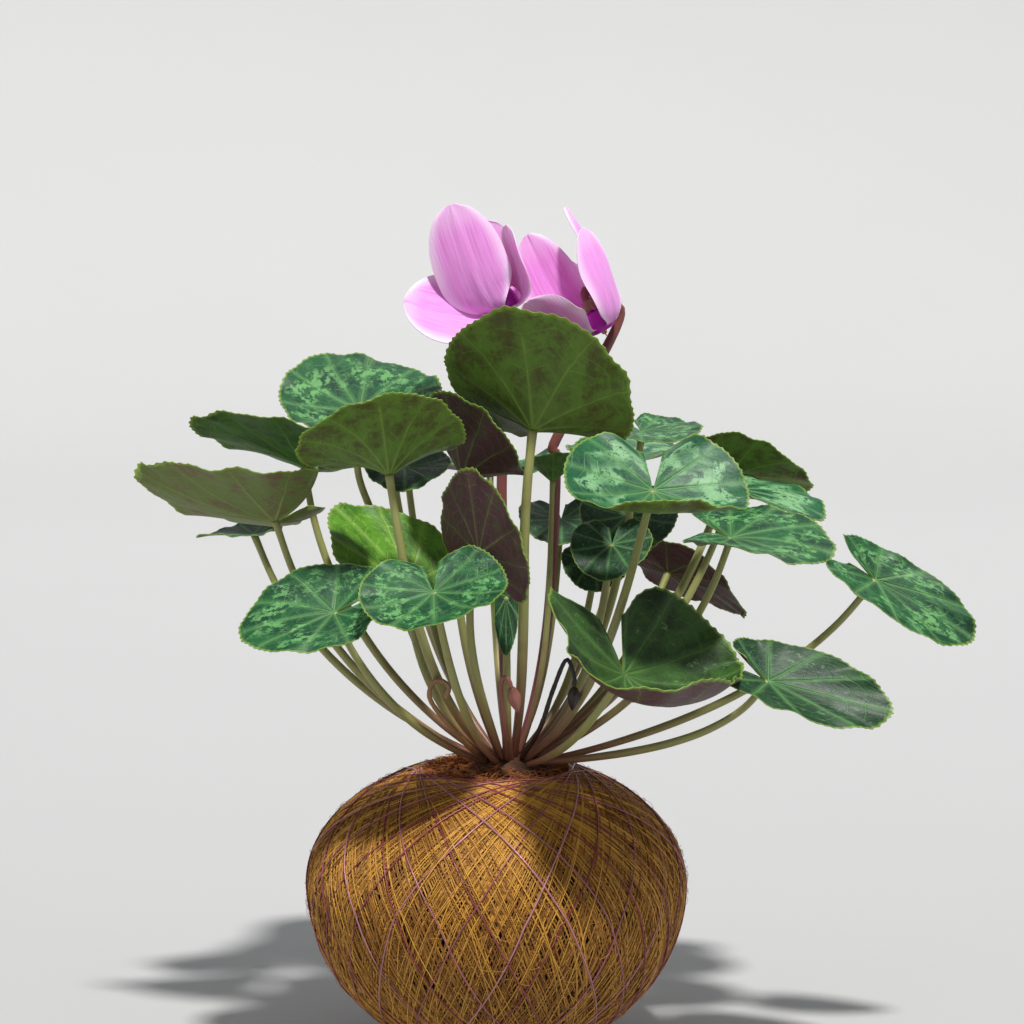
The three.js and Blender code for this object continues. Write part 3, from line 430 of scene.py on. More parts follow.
def blade_top(deep, fresh, silver, amount, band=(0.4, 0.74), vein=(104, 156, 92)):
    """The upper face of a blade: dark green, with a broken silver band and light veins."""
    deep, fresh, silver, vein, margin = colours(deep, fresh, silver, vein, TOP_MARGIN)

    def build(tree):
        veins, rho, flat = blade_parts(tree)
        rough_edge = tree.fused(tree.noise(flat, 7.0, 6.0, 0.75), 0.5, -0.25)
        reach = tree.math("ADD", rho, tree.fused(veins["Field"], -0.42, rough_edge))
        inside = tree.span(reach, band[0] - 0.1, band[0])
        outside = tree.span(reach, band[1] - 0.05, band[1] + 0.04, 1.0, 0.0)
        gap = 0.24 * amount
        broken = tree.span(tree.noise(flat, 9.0, 6.0, 0.75), 0.66 - gap, 0.72 - gap)
        marbling = tree.times(tree.times(inside, outside), broken)
        marbling = tree.times(marbling, tree.span(tree.noise(flat, 2.2, 2.0), 0.36, 0.56, 0.15, 1.0))
        green = tree.group(PATCHY, vector=flat, scale=3.0, first=deep, second=fresh).outputs["Colour"]
        green = tree.mix(tree.span(rho, 0.0, 0.4, 0.35, 0.0), green, deep)
        shade = tree.mix(tree.times(marbling, min(0.95, 0.55 + 0.4 * amount)), green, silver)
        near_vein = tree.span(tree.times(veins["Field"], rho), 0.01, 0.12, 0.3, 0.0)
        shade = tree.mix(near_vein, shade, vein)
        shade = veined(tree, shade, veins, vein, Net=0.1, Side=0.14, Main=0.38)
        shade = tree.mix(tree.span(rho, 0.965, 0.995, 0.0, 0.85), shade, margin)
        return {"colour": shade, "rough": tree.fused(tree.noise(flat, 30.0), 0.2, 0.4),
                "height": blade_relief(tree, veins, flat, 14.0, Side=-0.7, Net=-0.14, Main=-0.9)}
    return build


def blade_under(ground, tint, vein, share):
    """The lower face of a blade: maroon or olive, greener in broad bands by its veins."""
    ground, tint, vein, margin = colours(ground, tint, vein, UNDER_MARGIN)

    def build(tree):
        veins, rho, flat = blade_parts(tree)
        patches = tree.span(tree.noise(flat, 4.0, 6.0, 0.7), 0.64 - share, 0.84 - share)
        shade = tree.mix(patches, ground, tint)
        near_vein = tree.span(tree.times(veins["Field"], rho), 0.0, 0.16, 0.6, 0.0)
        shade = tree.mix(near_vein, shade, tint)
        blotch = tree.span(tree.noise(flat, 18.0, 4.0), 0.5, 0.72, 0.0, 0.35)
        shade = tree.mix(blotch, shade, ground)
        shade = veined(tree, shade, veins, vein, Net=0.08, Side=0.14, Main=0.5)
        shade = tree.mix(tree.span(rho, 0.96, 0.99, 0.0, 0.8), shade, margin)
        return {"colour": shade, "rough": 0.5,
                "height": blade_relief(tree, veins, flat, 16.0, Side=0.6, Net=0.3)}
    return build


def petal_face(pale, pink, deep, foot):
    """A petal: fine streaks along it, deeper pink to the foot and pale at the edges."""
    pale, pink, deep, foot = colours(pale, pink, deep, foot)

    def build(tree):
        across, along, _ = tree.parts(tree.map("polar"))
        streak = tree.noise(tree.scaled(tree.map("flat"), 60.0, 3.0, 1.0), 1.0, 4.0, 0.6)
        centre = tree.math("ABSOLUTE", tree.fused(across, 2.0, -1.0))
        edge = tree.span(tree.fused(streak, 0.25, centre), 0.72, 1.12)
        shade = tree.mix(tree.span(streak, 0.38, 0.68, 0.0, 0.45), pink, deep)
        shade = tree.mix(tree.times(edge, 0.75), shade, pale)
        shade = tree.mix(tree.span(along, 0.85, 1.0, 0.0, 0.4), shade, pale)
        shade = tree.mix(tree.span(tree.fused(streak, 0.1, along), 0.06, 0.36, 0.75, 0.0), shade, deep)
        shade = tree.mix(tree.span(tree.fused(streak, 0.12, along), 0.08, 0.2, 1.0, 0.0), shade, foot)
        return {"colour": shade, "height": streak, "rough": 0.55}
    return build


def stalk_skin(base_colour, top_colour, tint):
    """A fleshy stalk that changes from one colour to the other along its length."""
    base_colour, top_colour, tint = colours(base_colour, top_colour, tint)

    def build(tree):
        _, along, _ = tree.parts(tree.map("polar"))
        streaks = tree.noise(tree.scaled(tree.map("polar"), 6.0, 3.0, 1.0), 3.0, 4.0)
        shade = tree.mix(tree.span(tree.fused(streaks, 0.3, along), 0.1, 0.7), base_colour, top_colour)
        flecks = tree.span(tree.noise(tree.place(), 90.0, 3.0), 0.5, 0.75, 0.0, 0.5)
        return {"colour": tree.mix(flecks, shade, tint), "rough": 0.42,
                "height": tree.noise(tree.place(), 700.0, 2.0)}
    return build


def thread_finish(bright, mid, dark, plies):
    """A twisted thread; each one has its own tone between the first two colours, with painted shade in
    the grooves between its plies.
    """
    bright, mid, dark = colours(bright, mid, dark)

    def build(tree):
        twist = tree.group(TWIST, strand=tree.map("polar"), plies=plies).outputs
        which, _, _ = tree.parts(tree.map("flat"))
        shade = tree.mix(tree.span(which, 0.0, 1.0), mid, bright)
        shade = tree.mix(tree.span(twist["Tone"], 0.46, 0.7, 0.0, 0.75), shade, dark)
        # Painted shade: where the plies' height is low, in the grooves between them, the colour darkens
        # toward the dark one.
        shade = tree.mix(tree.span(twist["Height"], 0.1, 0.5, 0.45, 0.0), shade, dark)
        return {"colour": shade, "height": twist["Height"]}
    return build


def earthy(first, second, third, scale):
    """Soil, fibre or bark: two colours in patches, with grit of a third."""
    first, second, third = colours(first, second, third)

    def build(tree):
        place = tree.place()
        ground = tree.group(PATCHY, vector=place, scale=scale, first=first, second=second).outputs
        grit = tree.noise(place, scale * 9, 4.0, 0.7)
        shade = tree.mix(tree.span(grit, 0.55, 0.75), ground["Colour"], third)
        return {"colour": shade, "height": grit, "rough": 0.92}
    return build


LEAFY = {"bump": 0.4, "Specular_IOR_Level": 0.28, "Subsurface_Weight": 0.05, "Subsurface_Scale": 0.002,
         "Coat_Roughness": 0.32}
GLOSSY = {**LEAFY, "Coat_Weight": 0.06}
FLESHY = {"bump": 0.15, "distance": 0.0003}
CRUMBLY = {"bump": 0.9, "distance": 0.001}

finish("top_marbled", blade_top((14, 56, 38), (26, 84, 46), (104, 162, 98), 0.75), **GLOSSY)
finish("top_silver", blade_top((18, 70, 48), (32, 92, 56), (122, 170, 122), 1.0, (0.34, 0.68)),
       **GLOSSY)
finish("top_olive", blade_top((26, 46, 20), (48, 84, 30), (96, 134, 76), 0.4, vein=(84, 122, 62)),
       **LEAFY)
# Partly painted shade: top_dark is a darker copy of the marbled top with less silver. It is given to
# leaves whose tops lie in shade, so its darkness is partly their own green and partly painted shade.
finish("top_dark", blade_top((14, 44, 30), (30, 66, 36), (88, 138, 92), 0.4), **GLOSSY)
# Painted light: top_bright is a sunlit copy of the leaf top, and its pale yellow-green stands in for
# sunlight on the blade.
finish("top_bright", blade_top((50, 92, 22), (84, 136, 34), (130, 176, 70), 0.5, vein=(140, 178, 76)),
       **{**LEAFY, "bump": 0.35, "Coat_Weight": 0.08})
finish("under_olive", blade_under((74, 78, 36), (90, 122, 46), (126, 150, 66), 0.25), **LEAFY)
finish("under_purple", blade_under((74, 44, 50), (70, 68, 46), (120, 116, 72), 0.16), **LEAFY)
finish("under_mixed", blade_under((106, 80, 66), (98, 118, 60), (140, 146, 84), 0.3), **LEAFY)
finish("under_green", blade_under((56, 84, 38), (74, 114, 48), (118, 152, 76), 0.25), **LEAFY)
finish("petiole_skin", stalk_skin((132, 78, 66), (142, 144, 84), (120, 104, 62)),
       Subsurface_Weight=0.08, Subsurface_Scale=0.002, **FLESHY)
finish("flower_stalk_skin", stalk_skin((112, 54, 56), (122, 66, 62), (104, 60, 48)), **FLESHY)
finish("petal_face", petal_face((253, 224, 248), (240, 156, 232), (192, 88, 174), (150, 6, 142)),
       bump=0.5, Sheen_Weight=0.1, Subsurface_Weight=0.2, Subsurface_Scale=0.003)
finish("mouth_magenta", petal_face((212, 40, 200), (186, 14, 176), (140, 0, 132), (178, 10, 168)),
       bump=0.2, Subsurface_Weight=0.1, Subsurface_Scale=0.002)
finish("sepal_skin", stalk_skin((150, 96, 92), (132, 112, 74), (112, 70, 62)), bump=0.2)
finish("golden_thread", thread_finish((214, 158, 58), (134, 82, 20), (62, 38, 8), 90.0),
       rough=0.55, bump=0.5, distance=0.0002)
# Painted highlight: the pale silvery-pink first colour copies the shine on the metallic thread, and
# each thread's tone leans toward it by a random share.
finish("purple_thread", thread_finish((186, 128, 138), (128, 46, 60), (76, 22, 36), 160.0),
       rough=0.34, bump=0.25, distance=0.0001, Metallic=0.15)
finish("thread_fuzz", thread_finish((200, 150, 72), (160, 112, 46), (104, 70, 28), 4.0), rough=0.6)
finish("ball_ground", earthy((34, 22, 8), (60, 40, 14), (18, 12, 5), 90.0), bump=0.8, distance=0.001)
finish("coir", earthy((148, 84, 40), (112, 62, 30), (66, 36, 18), 120.0), **CRUMBLY)
finish("coir_fibre", earthy((182, 112, 58), (138, 80, 40), (84, 46, 22), 60.0), bump=0.3)
finish("humus", earthy((36, 26, 18), (60, 42, 28), (16, 12, 8), 200.0), **CRUMBLY)
finish("tuber_skin", earthy((92, 56, 30), (64, 40, 24), (32, 20, 12), 140.0), bump=0.8, distance=0.001)
finish("dry_stalk", stalk_skin((112, 76, 48), (150, 112, 74), (70, 44, 28)), bump=0.6)
finish("dark_stalk", stalk_skin((60, 38, 28), (28, 20, 16), (16, 12, 10)), bump=0.6)
finish("young_bud", stalk_skin((112, 70, 56), (146, 92, 82), (130, 70, 76)), bump=0.15)
finish("anther", earthy((214, 176, 70), (186, 140, 50), (120, 80, 30), 300.0))


# ---------- Mesh helpers ----------

def grid_faces(rows, columns, closed=False, looped=False):
    """Four-sided faces of a grid of points. Rows can be closed, and the last looped to the first."""
    row = np.arange(rows if looped else rows - 1)[:, None]
    here, there = row * columns, (row + 1) % rows * columns
    column = np.arange(columns if closed else columns - 1)[None, :]
    after = (column + 1) % columns
    return np.stack([here + column, here + after, there + after, there + column], -1).reshape(-1, 4)


def outline(rows, columns):
    """The points round the edge of a grid."""
    return np.concatenate([np.arange(columns - 1), columns - 1 + columns * np.arange(rows - 1),
                           (rows - 1) * columns + np.arange(columns - 1, 0, -1),
                           columns * np.arange(rows - 1, 0, -1)])


def surface(points, faces, finish_name, polar=None, flat=None, sharp=False):
    """A part of a piece: its points in mm, its faces, and two sets of coordinates for the finish."""
    points = np.asarray(points, float).reshape(-1, 3)
    none = np.zeros((len(points), 2))
    polar, flat = (none if spots is None else np.reshape(spots, (-1, 2)) for spots in (polar, flat))
    return {"points": points, "faces": faces, "finish": finish_name, "sharp": sharp, "polar": polar,
            "flat": flat}


def make_piece(name, surfaces, slot, *nodes):
    """One Blender object out of surfaces. It rides on the plant and stands for the nodes."""
    finishes = list(dict.fromkeys(part["finish"] for part in surfaces))
    corners, sizes, material, sharp = [], [], [], []
    first = 0
    for part in surfaces:
        for faces in part["faces"]:
            corners.append((faces + first).reshape(-1))
            sizes.append(np.full(len(faces), faces.shape[1]))
            material.append(np.full(len(faces), finishes.index(part["finish"])))
            sharp.append(np.full(len(faces), part["sharp"]))
        first += len(part["points"])
    points = np.concatenate([part["points"] for part in surfaces]) * MM
    corners, sizes = np.concatenate(corners), np.concatenate(sizes)
    mesh = bpy.data.meshes.new(name)
    mesh.vertices.add(len(points))
    mesh.vertices.foreach_set("co", points.astype(np.float32).ravel())
    mesh.loops.add(len(corners))
    mesh.loops.foreach_set("vertex_index", corners.astype(np.int32))
    mesh.polygons.add(len(sizes))
    starts = np.concatenate([[0], np.cumsum(sizes)[:-1]])
    mesh.polygons.foreach_set("loop_start", starts.astype(np.int32))
    mesh.polygons.foreach_set("material_index", np.concatenate(material).astype(np.int32))
    mesh.polygons.foreach_set("use_smooth", ~np.concatenate(sharp))
    for key in ("polar", "flat"):
        layer = mesh.uv_layers.new(name=key)
        values = np.concatenate([part[key] for part in surfaces])[corners]
        layer.data.foreach_set("uv", values.astype(np.float32).ravel())
    mesh.update()
    mesh.validate()
    for label in finishes:
        mesh.materials.append(FINISHES[label])
    piece = bpy.data.objects.new(name, mesh)
    bpy.context.scene.collection.objects.link(piece)
    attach(piece, "root")
    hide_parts(*nodes)


def smooth(low, high, value):
    """0 up to low, 1 from high on, and a soft step between them."""
    part = np.clip((value - low) / (high - low), 0, 1)
    return part * part * (3 - 2 * part)


def round_steps(count):
    """Equal steps once round, in radians."""
    return np.linspace(0, 2 * np.pi, count, endpoint=False)


def unit(vectors):
    """The vectors at a length of 1."""
    return vectors / np.maximum(np.linalg.norm(vectors, axis=-1, keepdims=True), 1e-9)


def strands(paths, radii, sides, finish_name, around, closed=False):
    """Tubes along many paths with the same number of points: paths (n, steps, 3), radii (n, steps)."""
    count, steps, _ = paths.shape
    ahead = np.roll(paths, -1, 1) - np.roll(paths, 1, 1)
    if not closed:
        ahead[:, 0] = paths[:, 1] - paths[:, 0]
        ahead[:, -1] = paths[:, -1] - paths[:, -2]
    ahead = unit(ahead)
    out = unit(around - np.sum(around * ahead, -1, keepdims=True) * ahead)
    aside = np.cross(ahead, out)
    angle = round_steps(sides)
    ring = (out[:, :, None] * np.cos(angle)[None, None, :, None]
            + aside[:, :, None] * np.sin(angle)[None, None, :, None]) * radii[:, :, None, None]
    points = (paths[:, :, None] + ring).reshape(-1, 3)
    shift = (np.arange(count) * steps * sides)[:, None, None]
    faces = [(grid_faces(steps, sides, True, closed)[None] + shift).reshape(-1, 4)]
    if not closed:
        ends = np.arange(sides)[None] + shift[:, 0]
        faces += [ends[:, ::-1], ends + (steps - 1) * sides]
    shape = (count, steps, sides)
    along = np.broadcast_to(np.linspace(0, 1, steps)[None, :, None], shape)
    turn = np.broadcast_to((np.arange(sides) / sides)[None, None, :], shape)
    tag = np.broadcast_to(chance.random(count)[:, None, None], shape)
    return surface(points, faces, finish_name, np.stack([along, turn], -1), np.stack([tag, along], -1))


def two_faced(upper, lower, faces, edge, finishes, polar, flat, rim_polar):
    """A thin sheet: its two faces, and a rim round the given edge."""
    top = surface(upper, [part[:, ::-1] for part in faces], finishes[0], polar, flat)
    bottom = surface(lower, faces, finishes[1], polar, flat)
    rim = surface(np.concatenate([top["points"][edge], bottom["points"][edge]]),
                  [grid_faces(2, len(edge), True)], finishes[0], np.concatenate([rim_polar, rim_polar]),
                  np.concatenate([flat[edge], flat[edge]]), sharp=True)
    return [top, bottom, rim]


def ring_of(radius, angle, height):
    """Points at a radius and a turn round the upright axis, at a height."""
    x, y, z = np.broadcast_arrays(radius * np.cos(angle), radius * np.sin(angle), height)
    return np.stack([x, y, z], -1)


def shell(first, second, finish_name):
    """A closed shell between two layers, the second in the opposite order of rows."""
    rows, columns, _ = first.shape
    points = np.concatenate([first.reshape(-1, 3), second.reshape(-1, 3)])
    return surface(points, [grid_faces(2 * rows, columns, True, True)], finish_name)


# ---------- Ball ----------

def on_ball(direction, lift):
    """Points on the squat ball for directions from its middle, lifted off it by so much."""
    x, y, z = np.moveaxis(direction, -1, 0)
    half = np.where(z > 0, UPPER_HALF, LOWER_HALF)
    wide = BALL_RADIUS + lift
    return np.stack([wide * x, wide * y, BALL_MIDDLE + (half + lift) * z], -1)


def loops(turns, bottoms, lifts, radius, wander, finish_name, sides, steps):
    """Loops of thread that touch the opening at the top and pass the foot at a given latitude."""
    count = len(turns)
    alpha = (math.pi - LOOP_TOP - bottoms) / 2
    lean = (math.pi - LOOP_TOP + bottoms) / 2
    centre = ring_of(np.cos(lean), turns, np.sin(lean))
    level = np.stack([-np.sin(turns), np.cos(turns), np.zeros(count)], -1)
    upright = np.cross(centre, level)
    angle = round_steps(steps)
    phase = chance.random((count, 3)) * 2 * np.pi
    drift = np.sin(2 * angle[None] + phase[:, :1]) + 0.6 * np.sin(5 * angle[None] + phase[:, 1:2])
    opened = alpha[:, None] + wander * drift / BALL_RADIUS
    direction = (centre[:, None] * np.cos(opened)[..., None]
                 + level[:, None] * (np.sin(opened) * np.cos(angle))[..., None]
                 + upright[:, None] * (np.sin(opened) * np.sin(angle))[..., None])
    paths = on_ball(unit(direction), lifts[:, None] + 0.3 * np.sin(3 * angle[None] + phase[:, 2:3]))
    paths[..., 2] = np.maximum(paths[..., 2], radius * 1.1)
    outward = unit(direction * np.array([1, 1, 1.3]))
    sizes = np.full((count, steps), radius) * (0.85 + 0.3 * chance.random((count, 1)))
    return strands(paths, sizes, sides, finish_name, outward, closed=True)


def ball_ground():
    """The dark ball under the threads: uneven, open at the top, flat where it stands."""
    latitude = np.linspace(GROUND_TOP, -math.pi / 2 + 0.02, GROUND_GRID[0])[:, None]
    longitude = round_steps(GROUND_GRID[1])[None]
    direction = ring_of(np.cos(latitude), longitude, np.sin(latitude))
    bumps = 0.35 * (np.sin(17 * longitude + 9 * latitude) + np.sin(23 * latitude - 11 * longitude))
    outer = on_ball(direction, bumps - CORE_DEPTH)
    outer[..., 2] = np.maximum(outer[..., 2], 0.05)
    inner = on_ball(direction, bumps - CORE_DEPTH - CORE_SKIN)
    inner[..., 2] = np.maximum(inner[..., 2], 1.5)
    return shell(outer[::-1], inner, "ball_ground")


def make_ball():
    turns = chance.random(GOLDEN_LOOPS) * 2 * np.pi
    bottoms = -np.radians(GOLDEN_FOOT[0] + GOLDEN_FOOT[1] * chance.random(GOLDEN_LOOPS) ** 1.4)
    lifts = np.sort(chance.uniform(*GOLDEN_LIFTS, GOLDEN_LOOPS))
    golden = loops(turns, bottoms, lifts, GOLDEN_RADIUS, 0.7, "golden_thread", 5, LOOP_STEPS)
    winding = [ball_ground(), golden, fuzz()]
    make_piece("wound_golden_thread", winding, "golden_thread", "thread_winding")
    turns = 2 * np.pi * (np.arange(PURPLE_LOOPS) + 0.5 * chance.random(PURPLE_LOOPS)) / PURPLE_LOOPS
    bottoms = -np.radians(PURPLE_FOOT[0] + PURPLE_FOOT[1] * chance.random(PURPLE_LOOPS))
    lifts = chance.uniform(*PURPLE_LIFTS, PURPLE_LOOPS)
    purple = loops(turns, bottoms, lifts, PURPLE_RADIUS, 1.0, "purple_thread", 6, 2 * LOOP_STEPS)
    make_piece("wound_purple_thread", [purple], "purple_thread", "purple_threads")


def fuzz():
    """Loose fibres that stand a little off the winding."""
    count, steps = FUZZ_FIBRES, 6
    latitude = np.arcsin(chance.uniform(-0.9, 0.9, count))
    longitude = chance.random(count) * 2 * np.pi
    direction = ring_of(np.cos(latitude), longitude, np.sin(latitude))
    heading = unit(np.cross(direction, chance.normal(size=(count, 3))))
    t = np.linspace(0, 1, steps)[None, :, None]
    length = chance.uniform(*FUZZ_LENGTH, count)[:, None, None]
    lift = chance.uniform(*FUZZ_LIFT, count)[:, None, None] * np.sin(np.pi * t) ** 0.8 + 0.4
    sway = chance.normal(size=count)[:, None, None] * t * t * 1.2
    bow = unit(np.cross(direction, heading))[:, None] * sway
    paths = on_ball(direction, np.zeros(count))[:, None] + heading[:, None] * length * t + bow
    middle = np.array([0, 0, BALL_MIDDLE])
    away = paths - middle
    half = np.where(away[..., 2:] < 0, LOWER_HALF, UPPER_HALF) * np.array([0, 0, 1])
    scale = half + np.array([BALL_RADIUS, BALL_RADIUS, 0])
    paths = middle + unit(away / scale) * scale + direction[:, None] * lift
    paths[..., 2] = np.maximum(paths[..., 2], 0.3)
    radii = FUZZ_RADIUS * np.ones((count, steps)) * (1 - 0.6 * np.abs(2 * t[..., 0] - 1) ** 3)
    return strands(paths, radii, 3, "thread_fuzz", np.broadcast_to(direction[:, None], paths.shape))


# ---------- Mound and tuber ----------

def mound_height(x, y):
    """How high the lumpy ground round the crown lies."""
    out = np.hypot(x, y) / OPENING_RADIUS
    lumps = np.sin(0.55 * x + 0.2 * y) * np.sin(0.5 * y - 0.3 * x)
    lumps = lumps + 0.6 * np.sin(1.3 * x) * np.sin(1.1 * y)
    return MOUND_TOP - MOUND_FALL * out ** 2.4 + MOUND_LUMP * lumps * (1 - out ** 4)


def make_mound():
    radius = np.linspace(0.5, OPENING_RADIUS + 1.2, MOUND_GRID[0])[:, None]
    upper = ring_of(radius, round_steps(MOUND_GRID[1])[None], 0.0)
    x, y = upper[..., 0], upper[..., 1]
    upper[..., 2] = mound_height(x, y) + 0.35 * np.sin(2.7 * x + 1.9 * y) * np.sin(2.3 * y - x)
    lower = upper.copy()
    lower[..., 2] = MOUND_FOOT
    ground = shell(upper, lower[::-1], "coir")
    make_piece("coir_mound", [ground, coir_fibres(), crumbs()], "coir", "growing_medium")


def coir_fibres():
    """Fibres that lie on the mound."""
    count, steps = COIR_FIBRES, 7
    radius = OPENING_RADIUS * np.sqrt(chance.random(count)) * 0.98
    angle = chance.random(count) * 2 * np.pi
    start = ring_of(radius, angle, 0.0)
    start[:, 2] = mound_height(start[:, 0], start[:, 1]) + 0.1
    heading = [chance.normal(size=count), chance.normal(size=count), 0.25 * chance.random(count)]
    heading = unit(np.stack(heading, -1))[:, None]
    t = np.linspace(0, 1, steps)[None, :, None]
    length = chance.uniform(*COIR_LENGTH, count)[:, None, None]
    bow = unit(chance.normal(size=(count, 3)))[:, None] * (t * t)
    bow = bow * chance.uniform(0.5, 2.5, count)[:, None, None]
    paths = start[:, None] + heading * length * t + bow
    out = np.hypot(paths[..., 0], paths[..., 1])
    paths[..., :2] *= np.minimum(1, (OPENING_RADIUS + COIR_PAST_EDGE) / out)[..., None]
    floor = mound_height(paths[..., 0], paths[..., 1])
    paths[..., 2] = np.clip(paths[..., 2], floor - 0.2, floor + 2.6)
    thin = 1 - 0.5 * t[..., 0]
    radii = np.broadcast_to(chance.uniform(*COIR_RADIUS, count)[:, None] * thin, (count, steps))
    up = np.broadcast_to(np.array([0.1, 0.2, 1.0]), paths.shape)
    return strands(paths, radii, 4, "coir_fibre", up)


def crumbs():
    """Small lumps of humus round the feet of the stalks."""
    base = np.array([(1, 0, 0), (0, 1, 0), (-1, 0, 0), (0, -1, 0), (0, 0, 1), (0, 0, -1)], float)
    sides = np.array([(0, 1, 4), (1, 2, 4), (2, 3, 4), (3, 0, 4),
                      (1, 0, 5), (2, 1, 5), (3, 2, 5), (0, 3, 5)])
    lumps = []
    for _ in range(CRUMBS):
        angle = chance.normal(-0.4, 1.6)
        radius = chance.uniform(15, 27)
        x, y = radius * math.cos(angle), radius * math.sin(angle)
        size = chance.uniform(0.5, 1.5)
        lump = base * (size * chance.uniform(0.6, 1.2, (6, 1)))
        lumps.append(lump + np.array([x, y, float(mound_height(x, y)) + 0.3 * size]))
    faces = np.concatenate([sides + 6 * k for k in range(CRUMBS)])
    return surface(np.concatenate(lumps), [faces], "humus", sharp=True)


def make_tuber():
    rows, columns = 48, 96
    rise = np.linspace(math.pi / 2 - 0.01, -math.pi / 2 + 0.01, rows)[:, None]
    angle = round_steps(columns)[None]
    height = np.where(rise > 0, CROWN_RISE, CROWN_FALL)
    knobs = 0.35 * np.sin(9 * angle + 4 * rise) * np.sin(11 * rise)
    knobs = knobs + 0.2 * np.sin(23 * angle - 13 * rise)
    points = ring_of((CROWN_RADIUS + knobs) * np.cos(rise), angle, (height + knobs) * np.sin(rise))
    caps = [np.arange(columns)[None, ::-1], (rows - 1) * columns + np.arange(columns)[None]]
    skin = surface(points + np.array(CROWN), [grid_faces(rows, columns, True), *caps], "tuber_skin")
    make_piece("tuber_crown", [skin], "tuber_skin", "tuber")


# ---------- Leaves ----------

def margin_at(theta, lobe):
    """How far out the blade's margin lies, as a share of its size."""
    part = np.abs(theta) / WIDEST
    tip = 0.05 * np.exp(-((part / 0.13) ** 2))
    return (1 - (1 - lobe) * part ** 1.6 + tip) * (1 - 0.4 * smooth(0.84, 1, part))


def roll_up(along, height, bend):
    """Bends a sheet into an arc. A bend of 0 leaves it flat."""
    curve = np.where(np.abs(bend) < 1e-6, 1e-6, bend)
    radius = 1 / curve - height
    return np.sin(curve * along) * radius, 1 / curve - np.cos(curve * along) * radius


def leaf_frame(shape):
    """The directions along the midrib, up from the blade and to its left."""
    heading, rise, roll = (math.radians(angle) for angle in shape["turn"])
    east, north = math.cos(heading), math.sin(heading)
    along = np.array([math.cos(rise) * east, math.cos(rise) * north, math.sin(rise)])
    level = np.array([-math.sin(rise) * east, -math.sin(rise) * north, math.cos(rise)])
    aside = np.cross(level, along)
    up = level * math.cos(roll) + aside * math.sin(roll)
    return along, up, np.cross(up, along)


def blade_points(shape, rho, theta, ruffle=0.0):
    """Points of the blade: rho is 0 at its stalk and 1 at its margin, theta 0 on the midrib."""
    size = shape["size"]
    reach = size * margin_at(theta, shape["lobe"]) * rho
    narrowing = 1 - shape["taper"] * np.maximum(0, np.cos(theta))
    wave = 0.05 * rho ** 2.2 * np.sin(3 * theta)
    wave = wave + ruffle * rho ** 5 * (np.sin(11 * theta + size) + 0.6 * np.sin(17 * theta - size))
    x = reach * np.cos(theta)
    y = reach * np.sin(theta) * shape["width"] * narrowing
    z = size * (shape["funnel"] * (1.3 * rho - 0.3 * rho * rho) + wave)
    left, right, tip, lobes = (math.radians(angle) / size for angle in shape["curl"])
    y, z = roll_up(y, z, np.where(y > 0, left, right))
    x, z = roll_up(x, z, np.where(x > 0, tip, lobes))
    along, up, aside = leaf_frame(shape)
    return np.array(shape["at"]) + x[..., None] * along + y[..., None] * aside + z[..., None] * up


def vein_mask(shape, rho, theta):
    """How close to the middle of a main vein, from 0 to 1, as the finish draws them."""
    angle = VEIN_PAIRS * np.abs(theta) / math.pi
    away = np.abs(angle - np.round(angle)) * math.pi / VEIN_PAIRS * rho * shape["size"]
    return np.exp(-((away / (0.62 * (1.2 - rho))) ** 2)) * (1 - rho) ** 0.6


def blade_surfaces(shape):
    rows, columns, teeth = BLADE_GRID[shape["large"]]
    rho = np.concatenate([np.linspace(0.03, 0.9, rows - 5), [0.93, 0.955, 0.975, 0.99, 1.0]])[:, None]
    theta = np.linspace(-WIDEST, WIDEST, columns)[None]
    saw = np.abs(((theta / WIDEST * teeth) % 1.0) - 0.35) * 2 - 0.6
    saw = saw + 0.35 * np.sin(theta * 5.3 + shape["size"])
    reach = rho * (1 + TOOTH * saw * smooth(0.9, 1.0, rho))
    middle = blade_points(shape, reach, theta + 0 * rho, RUFFLE)
    normals = unit(np.cross(np.gradient(middle, axis=0), np.gradient(middle, axis=1)))
    veins = vein_mask(shape, rho, theta)[..., None]
    thick = (BLADE_THICKNESS * (0.5 - 0.22 * rho ** 4))[..., None]
    upper = middle + normals * (thick - VEIN_RELIEF[0] * veins)
    lower = middle - normals * (thick + VEIN_RELIEF[1] * veins)
    at, root = np.array(shape["at"]), leaf_frame(shape)[1]
    upper = np.concatenate([upper.reshape(-1, 3), [at + root * 0.25]])
    lower = np.concatenate([lower.reshape(-1, 3), [at - root * 0.3]])
    turn = np.broadcast_to(theta / (2 * math.pi) + 0.5, (rows, columns))
    polar = np.stack([turn, np.broadcast_to(rho, turn.shape)], -1).reshape(-1, 2)
    seed = (hash_of(shape["name"]) % 97) / 9.7
    flat = np.stack([rho * np.cos(theta) + seed, rho * np.sin(theta) + 2 * seed], -1).reshape(-1, 2)
    polar, flat = np.concatenate([polar, [[0.5, 0.0]]]), np.concatenate([flat, [[seed, 2 * seed]]])
    last = rows * columns
    fan = np.stack([np.full(columns - 1, last), np.arange(1, columns), np.arange(columns - 1)], -1)
    edge = np.concatenate([[last], columns * np.arange(rows), last - columns + np.arange(1, columns),
                           columns * np.arange(rows - 1, 0, -1) - 1])
    return two_faced(upper, lower, [grid_faces(rows, columns), fan], edge, shape["looks"], polar, flat,
                     np.tile([0.5, 1.0], (len(edge), 1)))


def hash_of(words):
    """A whole number that depends on the words, so that no two leaves look the same."""
    total = 7
    for letter in words:
        total = (total * 31 + ord(letter)) % 100003
    return total


# ---------- Stalks ----------

def corner_spots(node):
    """The corners of a CAD solid, in mm, each once."""
    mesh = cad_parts[node].data
    spots = np.empty(len(mesh.vertices) * 3)
    mesh.vertices.foreach_get("co", spots)
    return np.unique(np.round(spots.reshape(-1, 3) / MM, 2), axis=0)


